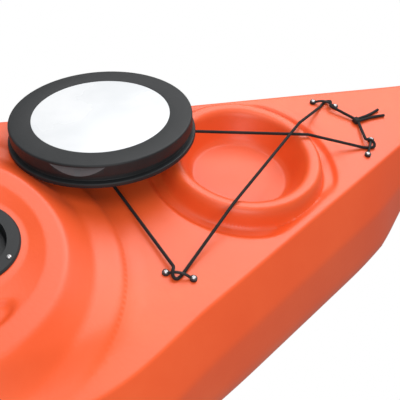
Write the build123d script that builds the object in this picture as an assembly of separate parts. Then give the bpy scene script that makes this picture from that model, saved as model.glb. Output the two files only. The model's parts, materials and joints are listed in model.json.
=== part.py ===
"""A fishing kayak, 3.15 m long, with a press-on lid, a round deck hatch and shock-cord rigging on its stern deck.

Millimetres. +X points to the stern, +Y to the right-hand side of the boat, +Z up.
The origin is on the keel, below the middle of the boat.
"""
from build123d import *
from math import asin, atan2, cos, degrees, hypot, pi, radians, sin, sqrt
import os

# ---------------------------------------------------------------- driving dimensions

LENGTH = 3150.0
DECK_Z = 310.0            # height of the flat deck over the keel
HULL_WALL = 4.5
BEVEL_DROP = 75.0         # the sloping strip below the deck's edge
BEVEL_OUT = 55.0
BEAM_DROP = 150.0         # depth of the widest line below the deck
BEAM_OUT = 60.0
STERN_FLARE = 30.0         # how much further out the widest line stands under the stern deck
STERN_FLARE_DROP = 35.0    # and how much further down
STERN_FLARE_X = (0.0, 750.0, 1050.0, 1520.0)   # where the flare starts, is full, fades and ends

# station x, deck half width, deck rise, keel height, half width of the flat bottom
STATIONS = [
    (-LENGTH / 2, 8.0, 34.0, 236.0, 6.0),
    (-1530.0, 26.0, 27.0, 150.0, 14.0),
    (-1430.0, 79.0, 12.0, 76.0, 34.0),
    (-1330.0, 127.0, 0.0, 44.0, 58.0),
    (-1200.0, 184.0, 0.0, 20.0, 90.0),
    (-950.0, 266.0, 0.0, 3.0, 140.0),
    (-650.0, 320.0, 0.0, 0.0, 180.0),
    (-250.0, 341.0, 0.0, 0.0, 200.0),
    (150.0, 341.0, 0.0, 0.0, 200.0),
    (400.0, 334.0, 0.0, 0.0, 185.0),
    (650.0, 266.0, 0.0, 0.0, 150.0),
    (900.0, 195.0, 0.0, 8.0, 115.0),
    (1150.0, 124.0, 0.0, 30.0, 75.0),
    (1350.0, 67.0, 0.0, 70.0, 42.0),
    (1500.0, 26.0, 6.0, 140.0, 18.0),
    (LENGTH / 2, 8.0, 12.0, 245.0, 6.0),
]

COCKPIT_REAR_X, COCKPIT_REAR_R = -365.0, 235.0
COCKPIT_FRONT_X, COCKPIT_FRONT_R = -935.0, 165.0
COAMING_WALL = 20.0
COAMING_LIP = 14.0
COAMING_HEIGHT = 28.0
COAMING_LIP_THICK = 6.0

HATCH_X = 324.0
# the mound's rings from the outside inwards: centre x, radius, height over the deck
MOUND_RINGS = [
    (248.0, 326.0, 0.0), (240.0, 292.0, 14.0), (243.0, 241.0, 51.0), (246.0, 230.0, 55.0),
    (262.0, 191.0, 54.0), (318.0, 112.0, 47.0),
]
HATCH_SEAT = 47.0         # height of the flat that the collar is screwed to
COLLAR_R = 93.0
COLLAR_HOLE_R = 70.0
COLLAR_THICK = 4.5
COLLAR_NECK = 26.0
COLLAR_NECK_WALL = 3.5
COLLAR_SCREWS = 4
COLLAR_SCREW_R = 82.5
COLLAR_SCREW_START = -50.0   # angle of the first screw, in degrees
GASKET_THICK = 1.5
PLATE_GAP = 0.5           # between the twist plate and the collar's neck

WELL_X = 891.0
WELL_FLOOR_R = 94.0
WELL_FLOOR_Z = -32.0      # heights are over the deck
WELL_LIP_R = 128.0
WELL_RIM_R = 158.0
WELL_RIM_HEIGHT = 31.0
WELL_TRENCH_R = 196.0
WELL_TRENCH_DEPTH = 10.0

LID_RIM_WIDTH = 18.0
LID_R = WELL_RIM_R + LID_RIM_WIDTH
LID_RIM_HEIGHT = 24.0
LID_PLATE = 5.0
LID_BORDER = 43.3         # black border round the disc
LID_DISC_R = LID_R - LID_BORDER
LID_DISC_THICK = 1.5
LID_DISC_SINK = 2.0       # the panel under the disc lies this far below the rim's top
LID_SKIRT_OUT = 5.0       # the skirt's lower flange stands out past the rim
LID_SKIRT_R = LID_R + LID_SKIRT_OUT
LID_SKIRT_HEIGHT = 21.0
LID_SKIRT_FLANGE = 9.0
LID_GROOVE = 6.0
LID_GROOVE_R = LID_R - LID_GROOVE
LID_GRIP_R = 92.0         # the finger scoop under the lip
LID_GRIP_DEPTH = 13.0
LID_GRIP_LIP = 4.5
LID_GRIP_ANGLE = 229.0    # where round the lid the scoop is, in degrees
LID_REST = (663.0, 171.0, DECK_Z + 75.0)   # centre of the lid's top as it lies on the deck
LID_NORMAL = (-0.033, 0.2, 0.979)
FIT = 0.3                 # running gap between pieces that only touch

EYE_SPAN = 49.0
EYE_PAD_R = 6.5
EYE_PAD_HEIGHT = 5.0
EYE_BAR_R = 2.6
EYE_CROWN = 10.6
REAR_EYE_X, REAR_EYE_Y = 1164.0, 77.0
FRONT_EYE_X, FRONT_EYE_Y = 630.0, 190.0
EYE_TURN = 42.0           # angle of each deck eye to the boat's length
CORD_D = 6.0
KNOT_SIZE = (13.0, 15.0, 11.0)
KNOT_X = 1192.0
TAIL_LENGTH = 66.0

SCREW_HEAD_R = 4.3
SCREW_HEAD_H = 2.6
SCREW_R = 2.0
SCREW_LENGTH = 12.0
SCREW_HOLE_R = 2.1

SEAT_X = -474.0
SEAT_LENGTH = 370.0
SEAT_WIDTH = 380.0
SEAT_BASE_HEIGHT = 62.0
SEAT_PAN_THICK = 6.0
SEAT_PAD_THICK = 34.0
BACK_HINGE = (-275.0, 92.0)
BACK_TILT = 6.0
BACK_HEIGHT = 330.0
BACK_WIDTH = 350.0
BACK_FRAME_THICK = 6.0
BACK_PAD_THICK = 36.0
BACK_PIN_R = 5.0

RAIL_X = (-1170.0, -880.0)
RAIL_Z = 178.0
RAIL_HEIGHT = 26.0
RAIL_THICK = 8.0
RAIL_STANDOFF = 6.0
PEDAL_SIZE = (14.0, 62.0, 88.0)
PEDAL_LOW = 30.0          # how far the pedal reaches below the rail's middle

ROD_X, ROD_Y = -66.0, 262.0
ROD_BORE_R = 20.5
ROD_TUBE_WALL = 2.5
ROD_TUBE_LENGTH = 190.0
ROD_TILT = 28.0
ROD_FLANGE = (86.0, 64.0, 4.0)

SWIVEL_X = -1265.0
SWIVEL_BASE_R = 38.0
SWIVEL_BASE_H = 14.0
SWIVEL_POST_R = 11.0
SWIVEL_POST_H = 74.0
CRADLE_R = 22.0
CRADLE_WALL = 3.5
CRADLE_LENGTH = 190.0

TOGGLE_R = 12.0
TOGGLE_ROPE_R = 3.0
TOGGLE_INSET = 38.0       # from the tip of the boat to the rope's hole
TOGGLE_HOLE_DROP = 26.0
TOGGLE_REACH = 76.0
TOGGLE_HALF = 44.0        # half the distance between the rope's two legs

PLUG_X = 1445.0
PLUG_R = 13.0


# ---------------------------------------------------------------- helpers

def revolve_profile(points):
    """A solid of revolution about Z from (radius, height) points."""
    return revolve(make_face(Plane.XZ * Polyline(*points, close=True)), Axis.Z, 360)


def tube(r_out, r_in, z0, z1):
    """A ring between two heights."""
    return Pos(0, 0, (z0 + z1) / 2) * (Cylinder(r_out, z1 - z0) - Cylinder(r_in, z1 - z0 + 1))


def disc(r, z0, z1):
    """A round plate between two heights."""
    return Pos(0, 0, (z0 + z1) / 2) * Cylinder(r, z1 - z0)


def block(x0, x1, y0, y1, z0, z1):
    """A box given by its corners."""
    return Pos((x0 + x1) / 2, (y0 + y1) / 2, (z0 + z1) / 2) * Box(x1 - x0, y1 - y0, z1 - z0)


def around(radius, count, start=0.0):
    """Points spaced evenly on a circle."""
    return [(radius * cos(radians(start + 360 / count * i)), radius * sin(radians(start + 360 / count * i)))
            for i in range(count)]


def mirrored(shape):
    """The same shape on the boat's other side."""
    return mirror(shape, Plane.XZ)


def screw(length=SCREW_LENGTH):
    """A pan-head screw with a cross slot, its head seated at z = 0."""
    head = revolve_profile([(0, 0), (SCREW_HEAD_R, 0), (SCREW_HEAD_R, SCREW_HEAD_H * 0.45),
                            (SCREW_HEAD_R * 0.72, SCREW_HEAD_H * 0.85), (0, SCREW_HEAD_H)])
    slot = Pos(0, 0, SCREW_HEAD_H) * (Box(SCREW_HEAD_R, 0.9, 1.6) + Box(0.9, SCREW_HEAD_R, 1.6))
    return head - slot + disc(SCREW_R, -length, 0)


def screws(places, z, length=SCREW_LENGTH):
    """Screws that stand upright at each (x, y)."""
    return Compound(children=[Pos(x, y, z) * screw(length) for x, y in places])


def write(shape, name):
    """Writes one node."""
    export_step(shape, f"parts/{name}.step")


# ---------------------------------------------------------------- hull

def lerp(a, b, t):
    return a + (b - a) * t


def station_at(x):
    """Deck half width, deck rise, keel height and bottom half width at any x."""
    for low, high in zip(STATIONS, STATIONS[1:]):
        if low[0] <= x <= high[0]:
            t = (x - low[0]) / (high[0] - low[0])
            return [lerp(a, b, t) for a, b in zip(low[1:], high[1:])]
    raise ValueError(f"x = {x} is outside the boat")


def stern_flare(x):
    """The share of the stern's flare at x, from 0 to 1."""
    start, full, fade, end = STERN_FLARE_X
    up = min(1.0, max(0.0, (x - start) / (full - start)))
    down = min(1.0, max(0.0, (end - x) / (end - fade)))
    return up * up * (3 - 2 * up) * down * down * (3 - 2 * down)


def section_points(x, inset):
    """The half section from the deck's centre to the keel, moved in by inset."""
    deck, rise, keel, bottom = station_at(x)
    fade = min(1.0, deck / 110.0)
    top = DECK_Z + rise
    bevel = deck + min(BEVEL_OUT, 0.42 * deck)
    flare = stern_flare(x)
    beam = deck + min(BEAM_OUT + STERN_FLARE * flare, (0.5 + 0.25 * flare) * deck)
    beam_z = max(top - (BEAM_DROP + STERN_FLARE_DROP * flare) * fade, lerp(keel, top, 0.35))
    bevel_z = max(top - BEVEL_DROP * fade, lerp(keel, top, 0.65))
    chine = lerp(bottom, beam, 0.72)
    chine_z = lerp(keel, beam_z, 0.34)
    return [
        (0, top - inset),
        (deck - 0.6 * inset, top - inset),
        (bevel - 1.05 * inset, bevel_z - 0.4 * inset),
        (beam - inset, beam_z),
        (chine - 0.9 * inset, chine_z + 0.5 * inset),
        (bottom - 0.4 * inset, keel + inset),
        (0, keel + inset),
    ]


def hull_loft(xs, inset):
    """A closed solid through the sections at each x."""
    faces = []
    for x in xs:
        right = section_points(x, inset)
        left = [(-y, z) for y, z in reversed(right[1:-1])]
        faces.append(make_face(Polyline(*[(x, y, z) for y, z in right + left], close=True)))
    return loft(faces, ruled=True)


def wall_at(x, z, inset=HULL_WALL):
    """Half width of the inner side wall at x and z."""
    points = section_points(x, inset)
    for (y0, z0), (y1, z1) in zip(points[2:], points[3:]):
        if z1 <= z <= z0:
            return lerp(y0, y1, (z0 - z) / (z0 - z1))
    raise ValueError(f"no side wall at z = {z}")


def cockpit_outline(offset):
    """The cockpit's egg shape, moved out by offset: two arcs joined by their tangents."""
    rear, front = COCKPIT_REAR_R + offset, COCKPIT_FRONT_R + offset
    k = (rear - front) / (COCKPIT_REAR_X - COCKPIT_FRONT_X)
    nx, ny = -k, sqrt(1 - k * k)
    rear_up = (COCKPIT_REAR_X + rear * nx, rear * ny)
    front_up = (COCKPIT_FRONT_X + front * nx, front * ny)
    rear_down, front_down = (rear_up[0], -rear_up[1]), (front_up[0], -front_up[1])
    edges = [
        Line(rear_up, front_up),
        ThreePointArc(front_up, (COCKPIT_FRONT_X - front, 0), front_down),
        Line(front_down, rear_down),
        ThreePointArc(rear_down, (COCKPIT_REAR_X + rear, 0), rear_up),
    ]
    return make_face(edges)


def cockpit_prism(offset, z0, z1):
    """The cockpit's shape as a block between two heights over the deck."""
    return Pos(0, 0, DECK_Z + z0) * extrude(cockpit_outline(offset), amount=z1 - z0)


def mound(inset):
    """The round mound under the hatch as stacked cones, its skin moved in by inset."""
    def ring(cx, r, z):
        return Plane((cx, 0, DECK_Z + z)) * Circle(r)

    rings = [(cx, r - (0.5 * inset if z > 0 else 0.9 * inset), z - inset) for cx, r, z in MOUND_RINGS]
    foot = (rings[0][0], rings[0][1], rings[0][2] - 12)
    solid = loft([ring(*foot), ring(*rings[0])], ruled=True)
    for low, high in zip(rings[:4], rings[1:5]):
        solid = solid + loft([ring(*low), ring(*high)], ruled=True)
    return solid - loft([ring(*rings[5]), ring(*rings[4])], ruled=True) - Pos(
        rings[4][0], 0, DECK_Z + rings[4][2] + 5) * Cylinder(rings[4][1], 10)


def well_profile(grow):
    """(radius, height) points of the well's bowl, its floor and walls grown outwards by grow."""
    return [
        (0, WELL_FLOOR_Z - grow),
        (WELL_FLOOR_R + 0.4 * grow, WELL_FLOOR_Z - grow),
        (WELL_FLOOR_R + 10 + grow, WELL_FLOOR_Z + 8 - 0.4 * grow),
        (WELL_LIP_R + grow, WELL_RIM_HEIGHT - 5),
    ]


def well_rim(grow):
    """The raised ring round the well as a solid disc, shrunk by grow."""
    top = WELL_RIM_HEIGHT - grow
    return revolve_profile([
        (0, -WELL_TRENCH_DEPTH - 12), (WELL_RIM_R + 8 - grow, -WELL_TRENCH_DEPTH - 12),
        (WELL_RIM_R + 8 - grow, -WELL_TRENCH_DEPTH - grow), (WELL_RIM_R - grow, top - 9),
        (WELL_RIM_R - 7 - 0.6 * grow, top), (0, top)])


def trench(grow):
    """The shallow step round the well's rim, sunk below the deck."""
    return revolve_profile([
        (0, 1), (WELL_TRENCH_R + grow, 1), (WELL_TRENCH_R + grow, 0),
        (WELL_TRENCH_R - 9 + grow, -WELL_TRENCH_DEPTH - grow), (0, -WELL_TRENCH_DEPTH - grow)])


def hull_holes():
    """Everything that passes through the skin for a fastener, tube or rope."""
    cutters = []
    for x, y in eye_screw_places():
        cutters.append(Pos(x, y, DECK_Z) * Cylinder(SCREW_HOLE_R, 40))
    for x, y in collar_screw_places():
        cutters.append(Pos(x, y, DECK_Z + HATCH_SEAT) * Cylinder(SCREW_HOLE_R, 40))
    for x, y in rod_screw_places() + swivel_screw_places():
        cutters.append(Pos(x, y, DECK_Z) * Cylinder(SCREW_HOLE_R, 40))
    for side in (1, -1):
        cutters.append(rod_place(side) * Cylinder(ROD_BORE_R + ROD_TUBE_WALL + 1.5, 120))
        for frame in rail_screw_frames(side):
            cutters.append(frame * Cylinder(SCREW_HOLE_R, 30))
    for end in (1, -1):
        x, z = toggle_hole(end)
        cutters.append(Pos(x, 0, z) * Rot(90, 0, 0) * Cylinder(TOGGLE_ROPE_R + FIT, 200))
    cutters.append(Pos(PLUG_X, 0, DECK_Z) * Cylinder(PLUG_R * 0.62, 80))
    cutters.append(Pos(HATCH_X, 0, DECK_Z + HATCH_SEAT) * Cylinder(COLLAR_HOLE_R + COLLAR_NECK_WALL + 1, 40))
    return cutters


def toggle_hole(end):
    """Centre of the rope's hole through the solid tip, bow (-1) or stern (1)."""
    x = end * (LENGTH / 2 - TOGGLE_INSET)
    rise = station_at(x)[1]
    return x, DECK_Z + rise - TOGGLE_HOLE_DROP


def hull():
    """The moulded boat: one skin, with the cockpit, mound, well and tips."""
    xs = [s[0] for s in STATIONS]
    outer = hull_loft(xs, 0)
    inner = hull_loft(xs[2:-2] + [STATIONS[-2][0] - 60], HULL_WALL)
    coaming = cockpit_prism(COAMING_WALL, -10, COAMING_HEIGHT) + cockpit_prism(
        COAMING_WALL + COAMING_LIP, COAMING_HEIGHT - COAMING_LIP_THICK, COAMING_HEIGHT)
    outer = outer + coaming + mound(0)
    outer = outer - Pos(WELL_X, 0, DECK_Z) * trench(0) + Pos(WELL_X, 0, DECK_Z) * well_rim(0)
    bowl_skin = revolve_profile(well_profile(HULL_WALL) + [(WELL_LIP_R + HULL_WALL, 60), (0, 60)])
    trench_skin = trench(HULL_WALL) - well_rim(HULL_WALL)
    inner = inner + mound(HULL_WALL) + Pos(WELL_X, 0, DECK_Z) * (well_rim(HULL_WALL))
    inner = inner - Pos(WELL_X, 0, DECK_Z) * bowl_skin - Pos(WELL_X, 0, DECK_Z) * trench_skin
    bowl = revolve_profile(well_profile(0) + [(WELL_LIP_R, 60), (0, 60)])
    skin = outer - inner - Pos(WELL_X, 0, DECK_Z) * bowl - cockpit_prism(0, -60, COAMING_HEIGHT + 10)
    for cutter in hull_holes():
        skin = skin - cutter
    return skin


# ---------------------------------------------------------------- round hatch

def collar_screw_places():
    return [(HATCH_X + x, y) for x, y in around(COLLAR_SCREW_R, COLLAR_SCREWS, COLLAR_SCREW_START)]


def hatch_pieces():
    """The screwed collar, its gasket and the twist plate that closes it."""
    base = DECK_Z + HATCH_SEAT
    place = Pos(HATCH_X, 0, base)
    holes = [Pos(x, y, 0) * Cylinder(SCREW_HOLE_R, 60) for x, y in around(COLLAR_SCREW_R, COLLAR_SCREWS, COLLAR_SCREW_START)]
    gasket = tube(COLLAR_R - 3, COLLAR_HOLE_R + COLLAR_NECK_WALL + 1, 0, GASKET_THICK)
    flange_top = GASKET_THICK + COLLAR_THICK
    collar = revolve_profile([
        (COLLAR_HOLE_R, flange_top), (COLLAR_HOLE_R, -COLLAR_NECK),
        (COLLAR_HOLE_R - 7, -COLLAR_NECK), (COLLAR_HOLE_R - 7, -COLLAR_NECK - 3),
        (COLLAR_HOLE_R + COLLAR_NECK_WALL, -COLLAR_NECK - 3), (COLLAR_HOLE_R + COLLAR_NECK_WALL, GASKET_THICK),
        (COLLAR_R, GASKET_THICK), (COLLAR_R, GASKET_THICK + 2), (COLLAR_R - 3, flange_top)])
    for hole in holes:
        collar = collar - hole
        gasket = gasket - hole
    plate_r = COLLAR_HOLE_R - PLATE_GAP
    plate_bottom = -COLLAR_NECK + 2.5
    plate = revolve_profile([
        (0, plate_bottom), (plate_r, plate_bottom), (plate_r, plate_bottom + 9), (plate_r - 3, plate_bottom + 11),
        (plate_r - 14, plate_bottom + 11), (plate_r - 20, plate_bottom + 6), (0, plate_bottom + 6)])
    grip = Pos(0, 0, plate_bottom + 9) * Box(2 * (plate_r - 30), 12, 8)
    plate = plate + grip
    seal = tube(COLLAR_HOLE_R - 1.0, COLLAR_HOLE_R - 6.5, -COLLAR_NECK, plate_bottom)
    return {
        "hatch_gasket": place * gasket,
        "hatch_collar": place * collar,
        "hatch_collar_screws": screws(collar_screw_places(), base + flange_top, 22),
        "hatch_plate": place * plate,
        "hatch_plate_seal": place * seal,
    }


# ---------------------------------------------------------------- press-on lid

def lid_place():
    """The lid's frame as it lies on the deck: its top face is the XY plane, X towards the stern."""
    return Location(Plane(origin=LID_REST, x_dir=(1, 0, -LID_NORMAL[0] / LID_NORMAL[2]), z_dir=LID_NORMAL))


def lid_pieces():
    """The lid that presses over the well's rim: cap, skirt ring, liner and the disc let into its top."""
    inner = LID_R - LID_RIM_WIDTH
    panel_top = -LID_DISC_SINK
    cap = revolve_profile([
        (0, panel_top - LID_PLATE), (inner, panel_top - LID_PLATE), (inner, -LID_RIM_HEIGHT),
        (LID_R - 1, -LID_RIM_HEIGHT), (LID_R, -LID_RIM_HEIGHT + 2), (LID_R, -5), (LID_R - 1.4, -1.6), (LID_R - 4.5, 0),
        (LID_DISC_R + 0.6, 0), (LID_DISC_R + 0.2, panel_top), (0, panel_top)])
    radial = Pos(0, 0, -LID_RIM_HEIGHT + LID_GRIP_R + 1.5)
    scoop = radial * Rot(0, 90 + 14, 0) * Cylinder(LID_GRIP_R, 3 * LID_GRIP_DEPTH)
    scoop = Pos(LID_R + 0.5 * LID_GRIP_DEPTH, 0, 0) * scoop
    scoop = scoop & block(LID_R - LID_GRIP_DEPTH, LID_R + 40, -90, 90, -LID_RIM_HEIGHT, -LID_GRIP_LIP)
    cap = cap - Rot(0, 0, LID_GRIP_ANGLE) * scoop
    top = -LID_RIM_HEIGHT
    bottom = top - LID_SKIRT_HEIGHT
    skirt = revolve_profile([
        (inner + 4, top), (LID_GROOVE_R, top), (LID_GROOVE_R, bottom + LID_SKIRT_FLANGE),
        (LID_SKIRT_R - 2, bottom + LID_SKIRT_FLANGE - 0.6), (LID_SKIRT_R, bottom + LID_SKIRT_FLANGE - 3),
        (LID_SKIRT_R - 1, bottom + 1), (LID_SKIRT_R - 3, bottom), (inner + 8, bottom), (inner + 8, bottom + 6),
        (inner + 4, bottom + 8)])
    liner = tube(inner - 0.2, WELL_LIP_R + 2, panel_top - LID_PLATE - 3, panel_top - LID_PLATE)
    face = disc(LID_DISC_R, panel_top, panel_top + LID_DISC_THICK)
    place = lid_place()
    return {
        "lid_cap": place * cap,
        "lid_skirt": place * skirt,
        "lid_liner": place * liner,
        "lid_disc": place * face,
    }


# ---------------------------------------------------------------- shock-cord rigging

def eye_places():
    """Centre and angle of each deck eye: left and right of the front pair, then of the rear pair."""
    return [
        (FRONT_EYE_X, -FRONT_EYE_Y, -EYE_TURN), (FRONT_EYE_X, FRONT_EYE_Y, EYE_TURN),
        (REAR_EYE_X, REAR_EYE_Y, -EYE_TURN), (REAR_EYE_X, -REAR_EYE_Y, EYE_TURN),
    ]


def eye_screw_places():
    places = []
    for x, y, turn in eye_places():
        for side in (-1, 1):
            places.append((x + side * EYE_SPAN / 2 * cos(radians(turn)), y + side * EYE_SPAN / 2 * sin(radians(turn))))
    return places


def deck_eye():
    """One deck eye along X: two screw pads joined by an arched bar."""
    half = EYE_SPAN / 2
    foot = half - EYE_PAD_R + 2
    arch = Plane.XZ * ThreePointArc((-foot, EYE_BAR_R + 0.2), (0, EYE_CROWN), (foot, EYE_BAR_R + 0.2))
    start = Plane(origin=arch @ 0, z_dir=arch % 0)
    bar = sweep(start * Circle(EYE_BAR_R), path=arch)
    eye = bar
    for side in (-1, 1):
        eye = eye + Pos(side * half, 0, EYE_PAD_HEIGHT / 2) * Cylinder(EYE_PAD_R, EYE_PAD_HEIGHT)
    eye = eye & block(-60, 60, -30, 30, 0, 40)
    for side in (-1, 1):
        eye = eye - Pos(side * half, 0, 0) * Cylinder(SCREW_HOLE_R, 40)
        eye = eye - Pos(side * half, 0, EYE_PAD_HEIGHT + 10) * Cylinder(SCREW_HEAD_R + 0.2, 20)
    return eye


def eye_frame(x, y, turn):
    """Gives a function from (along the eye, inwards, height) to a point."""
    ax, ay = cos(radians(turn)), sin(radians(turn))
    inward = 1 if x < WELL_X else -1
    bx, by = -ay, ax
    if (bx * (WELL_X - x) + by * (0 - y)) < 0:
        bx, by = -bx, -by

    def point(along, inwards, height):
        along *= inward
        return (x + ax * along + bx * inwards, y + ay * along + by * inwards, DECK_Z + height)
    return point


def cord_route():
    """The cord's route from one side of the knot to the other, with the radius at each corner."""
    low = CORD_D / 2 + 0.3
    over = EYE_CROWN - 0.6
    front_left, front_right, rear_right, rear_left = [eye_frame(*place) for place in eye_places()]
    crest = WELL_RIM_HEIGHT + CORD_D / 2 + 0.6
    points = [((KNOT_X, KNOT_SIZE[1] / 2, DECK_Z + 5.5), 0)]

    def through(point, over_first):
        """Goes over the eye's shoulder and back under its crown, or the other way round."""
        leg = [
            (point(-13, 11, 9.6), 5), (point(-13, 0, 13.3), 4), (point(-11, -9, 7.0), 4),
            (point(-3, -10, low), 4), (point(3, 0, low), 5), (point(7, 12, low), 6),
        ]
        return leg if over_first else leg[::-1]

    def span(a, b, hump):
        """Contact points on the well's rim between two eyes, and the hump where the cords cross."""
        dx, dy = b[0] - a[0], b[1] - a[1]
        length = hypot(dx, dy)
        ux, uy = dx / length, dy / length
        mid = (WELL_X - a[0]) * ux + (0 - a[1]) * uy
        off = abs((WELL_X - a[0]) * uy - (0 - a[1]) * ux)
        half = sqrt((WELL_RIM_R - 9) ** 2 - off ** 2)
        out = []
        for s in (mid - half, mid + half):
            out.append(((a[0] + ux * s, a[1] + uy * s, DECK_Z + crest + (hump if s > mid else 0)), 30))
        return out

    a, b = front_left(7, 12, low), rear_right(7, 12, low)
    c, d = front_right(7, 12, low), rear_left(7, 12, low)
    points += through(rear_right, True)
    points += span(a, b, CORD_D + 0.4)[::-1]
    points += through(front_left, False)
    points += through(front_right, True)
    points += span(c, d, 0)
    points += through(rear_left, False)
    points.append(((KNOT_X, -KNOT_SIZE[1] / 2, DECK_Z + 5.5), 0))
    return points


def cord_tube(points, radius=CORD_D / 2):
    """A round tube along straight runs joined by arcs."""
    corners = [p for p, _ in points]
    path = FilletPolyline(*corners, radius=[r for _, r in points[1:-1]])
    return sweep(Plane(origin=path @ 0, z_dir=path % 0) * Circle(radius), path=path)


def rigging_pieces():
    """Deck eyes, their screws, the shock cord, its knot and tails."""
    eyes = Compound(children=[Pos(x, y, DECK_Z) * Rot(0, 0, turn) * deck_eye() for x, y, turn in eye_places()])
    length, width, height = KNOT_SIZE
    knot = Pos(KNOT_X, 0, DECK_Z + 5.5 + 0.3) * chamfer(Box(length, width, height).edges(), 2.2)
    tails = []
    for side in (-1, 1):
        start = (KNOT_X + length / 2, side * 3.2, DECK_Z + 5.5)
        points = [
            (start, 0), ((start[0] + TAIL_LENGTH * 0.45, side * 3.4, DECK_Z + 4.6), 40),
            ((start[0] + TAIL_LENGTH, side * 9.5, DECK_Z + 3.4), 0),
        ]
        tails.append(cord_tube(points))
    return {
        "deck_eyes": eyes,
        "deck_eye_screws": screws(eye_screw_places(), DECK_Z + EYE_PAD_HEIGHT, 16),
        "shock_cord": cord_tube(cord_route()),
        "shock_cord_knot": knot,
        "shock_cord_tails": Compound(children=tails),
    }


# ---------------------------------------------------------------- seat

def seat_pieces():
    """Foam base, moulded pan and pad on the floor, and the backrest on its pin."""
    floor = HULL_WALL
    x0, x1 = SEAT_X - SEAT_LENGTH / 2, SEAT_X + SEAT_LENGTH / 2
    half = SEAT_WIDTH / 2
    base = block(x0 + 30, x1 - 30, -half + 60, half - 60, floor, floor + SEAT_BASE_HEIGHT)
    pan_z = floor + SEAT_BASE_HEIGHT
    pan = block(x0, x1, -half, half, pan_z, pan_z + SEAT_PAN_THICK)
    pan = fillet(pan.edges().filter_by(Axis.Z), 60)
    hinge_x, hinge_z = BACK_HINGE
    ears = []
    for side in (-1, 1):
        y = side * (BACK_WIDTH / 2 - 28)
        ear = block(x1 - 44, hinge_x, y - 5, y + 5, pan_z + 1, hinge_z + 8) + \
            Pos(hinge_x, y, hinge_z) * Rot(90, 0, 0) * Cylinder(14, 10)
        ears.append(ear - Pos(hinge_x, y, hinge_z) * Rot(90, 0, 0) * Cylinder(BACK_PIN_R + 0.05, 20))
    for ear in ears:
        pan = pan + ear
    pad_z = pan_z + SEAT_PAN_THICK + FIT
    pad = block(x0 + 8, x1 - 48, -half + 8, half - 8, pad_z, pad_z + SEAT_PAD_THICK)
    pad = fillet(pad.edges().filter_by(Axis.Z), 55)
    pad = fillet(pad.edges().group_by(Axis.Z)[-1], 12)

    place = Pos(hinge_x, 0, hinge_z) * Rot(0, BACK_TILT, 0)
    frame = block(-BACK_FRAME_THICK / 2, BACK_FRAME_THICK / 2, -BACK_WIDTH / 2, BACK_WIDTH / 2, 22, BACK_HEIGHT)
    frame = fillet(frame.edges().filter_by(Axis.X).group_by(Axis.Z)[-1], 90)
    frame = fillet(frame.edges().filter_by(Axis.X).group_by(Axis.Z)[0], 30)
    for side in (-1, 1):
        y = side * (BACK_WIDTH / 2 - 46)
        lug = block(-BACK_FRAME_THICK / 2, BACK_FRAME_THICK / 2, y - 9, y + 9, 0, 40) + \
            Pos(0, y, 0) * Rot(90, 0, 0) * Cylinder(11, 18)
        frame = frame + lug
    frame = frame - Rot(90, 0, 0) * Cylinder(BACK_PIN_R - 0.2, BACK_WIDTH)
    pin = Rot(90, 0, 0) * Cylinder(BACK_PIN_R - 0.2, BACK_WIDTH - 36)
    front = -BACK_FRAME_THICK / 2 - FIT
    back_pad = block(front - BACK_PAD_THICK, front, -BACK_WIDTH / 2 + 6, BACK_WIDTH / 2 - 6, 62, BACK_HEIGHT - 6)
    back_pad = fillet(back_pad.edges().filter_by(Axis.X).group_by(Axis.Z)[-1], 84)
    back_pad = fillet(back_pad.edges().filter_by(Axis.X).group_by(Axis.Z)[0], 40)
    back_pad = fillet(back_pad.edges().group_by(Axis.X)[0], 12)
    return {
        "seat_base": base,
        "seat_pan": pan,
        "seat_pad": pad,
        "backrest_frame": place * frame,
        "backrest_pin": place * pin,
        "backrest_pad": place * back_pad,
    }


# ---------------------------------------------------------------- foot braces

def rail_frame(side):
    """A frame on the inner wall: X along the rail towards the stern, Y into the boat."""
    x0, x1 = RAIL_X
    y0, y1 = wall_at(x0, RAIL_Z), wall_at(x1, RAIL_Z)
    mid = ((x0 + x1) / 2, side * (y0 + y1) / 2, RAIL_Z)
    along = Vector(x1 - x0, side * (y1 - y0), 0).normalized()
    return Plane(origin=mid, x_dir=along, z_dir=(0, 0, 1)), hypot(x1 - x0, y1 - y0)


def rail_screw_frames(side):
    """Where each rail screw's head sits on the outside of the hull, Z pointing outwards."""
    plane, length = rail_frame(side)
    frames = []
    for x in (-length / 2 + 15, length / 2 - 15):
        at = plane.origin + plane.x_dir * x
        out = (side * wall_at(at.X, RAIL_Z, 0) - at.Y) * plane.y_dir.Y
        frames.append(Location(Plane(origin=at + plane.y_dir * out, z_dir=plane.y_dir * side)))
    return frames


def foot_brace(side):
    """One rail with its standoffs and screws, and the pedal that slides on it."""
    plane, length = rail_frame(side)
    place = Location(plane)
    gap = -side * (RAIL_STANDOFF + FIT)
    near, far = gap, gap - side * RAIL_THICK
    rail = block(-length / 2, length / 2, min(near, far), max(near, far), -RAIL_HEIGHT / 2, RAIL_HEIGHT / 2)
    for x in (-length / 2 + 15, length / 2 - 15):
        foot = Pos(x, -side * (RAIL_STANDOFF / 2 + 1.8), 0) * Rot(90, 0, 0) * Cylinder(8, RAIL_STANDOFF + 2)
        rail = rail + foot - Pos(x, 0, 0) * Rot(90, 0, 0) * Cylinder(SCREW_HOLE_R, 34)
    clearance = 0.4
    inner = far - side * clearance
    width = -side * PEDAL_SIZE[1]
    y0, y1 = sorted((inner, inner + width))
    tread = block(-PEDAL_SIZE[0] / 2, PEDAL_SIZE[0] / 2, y0, y1, -PEDAL_LOW, PEDAL_SIZE[2] - PEDAL_LOW)
    tread = fillet(tread.edges().filter_by(Axis.X), 10)
    shoe = block(-24, 24, min(inner, inner - side * 9), max(inner, inner - side * 9), -18.4, 18.4)
    upper = block(-24, 24, min(near + side * 2.0, inner), max(near + side * 2.0, inner),
                  RAIL_HEIGHT / 2 + clearance, 18.4)
    lower = mirror(upper, Plane.XY)
    pedal = Pos(-length / 2 + 62, 0, 0) * (tread + shoe + upper + lower)
    return place * rail, place * pedal


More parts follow.
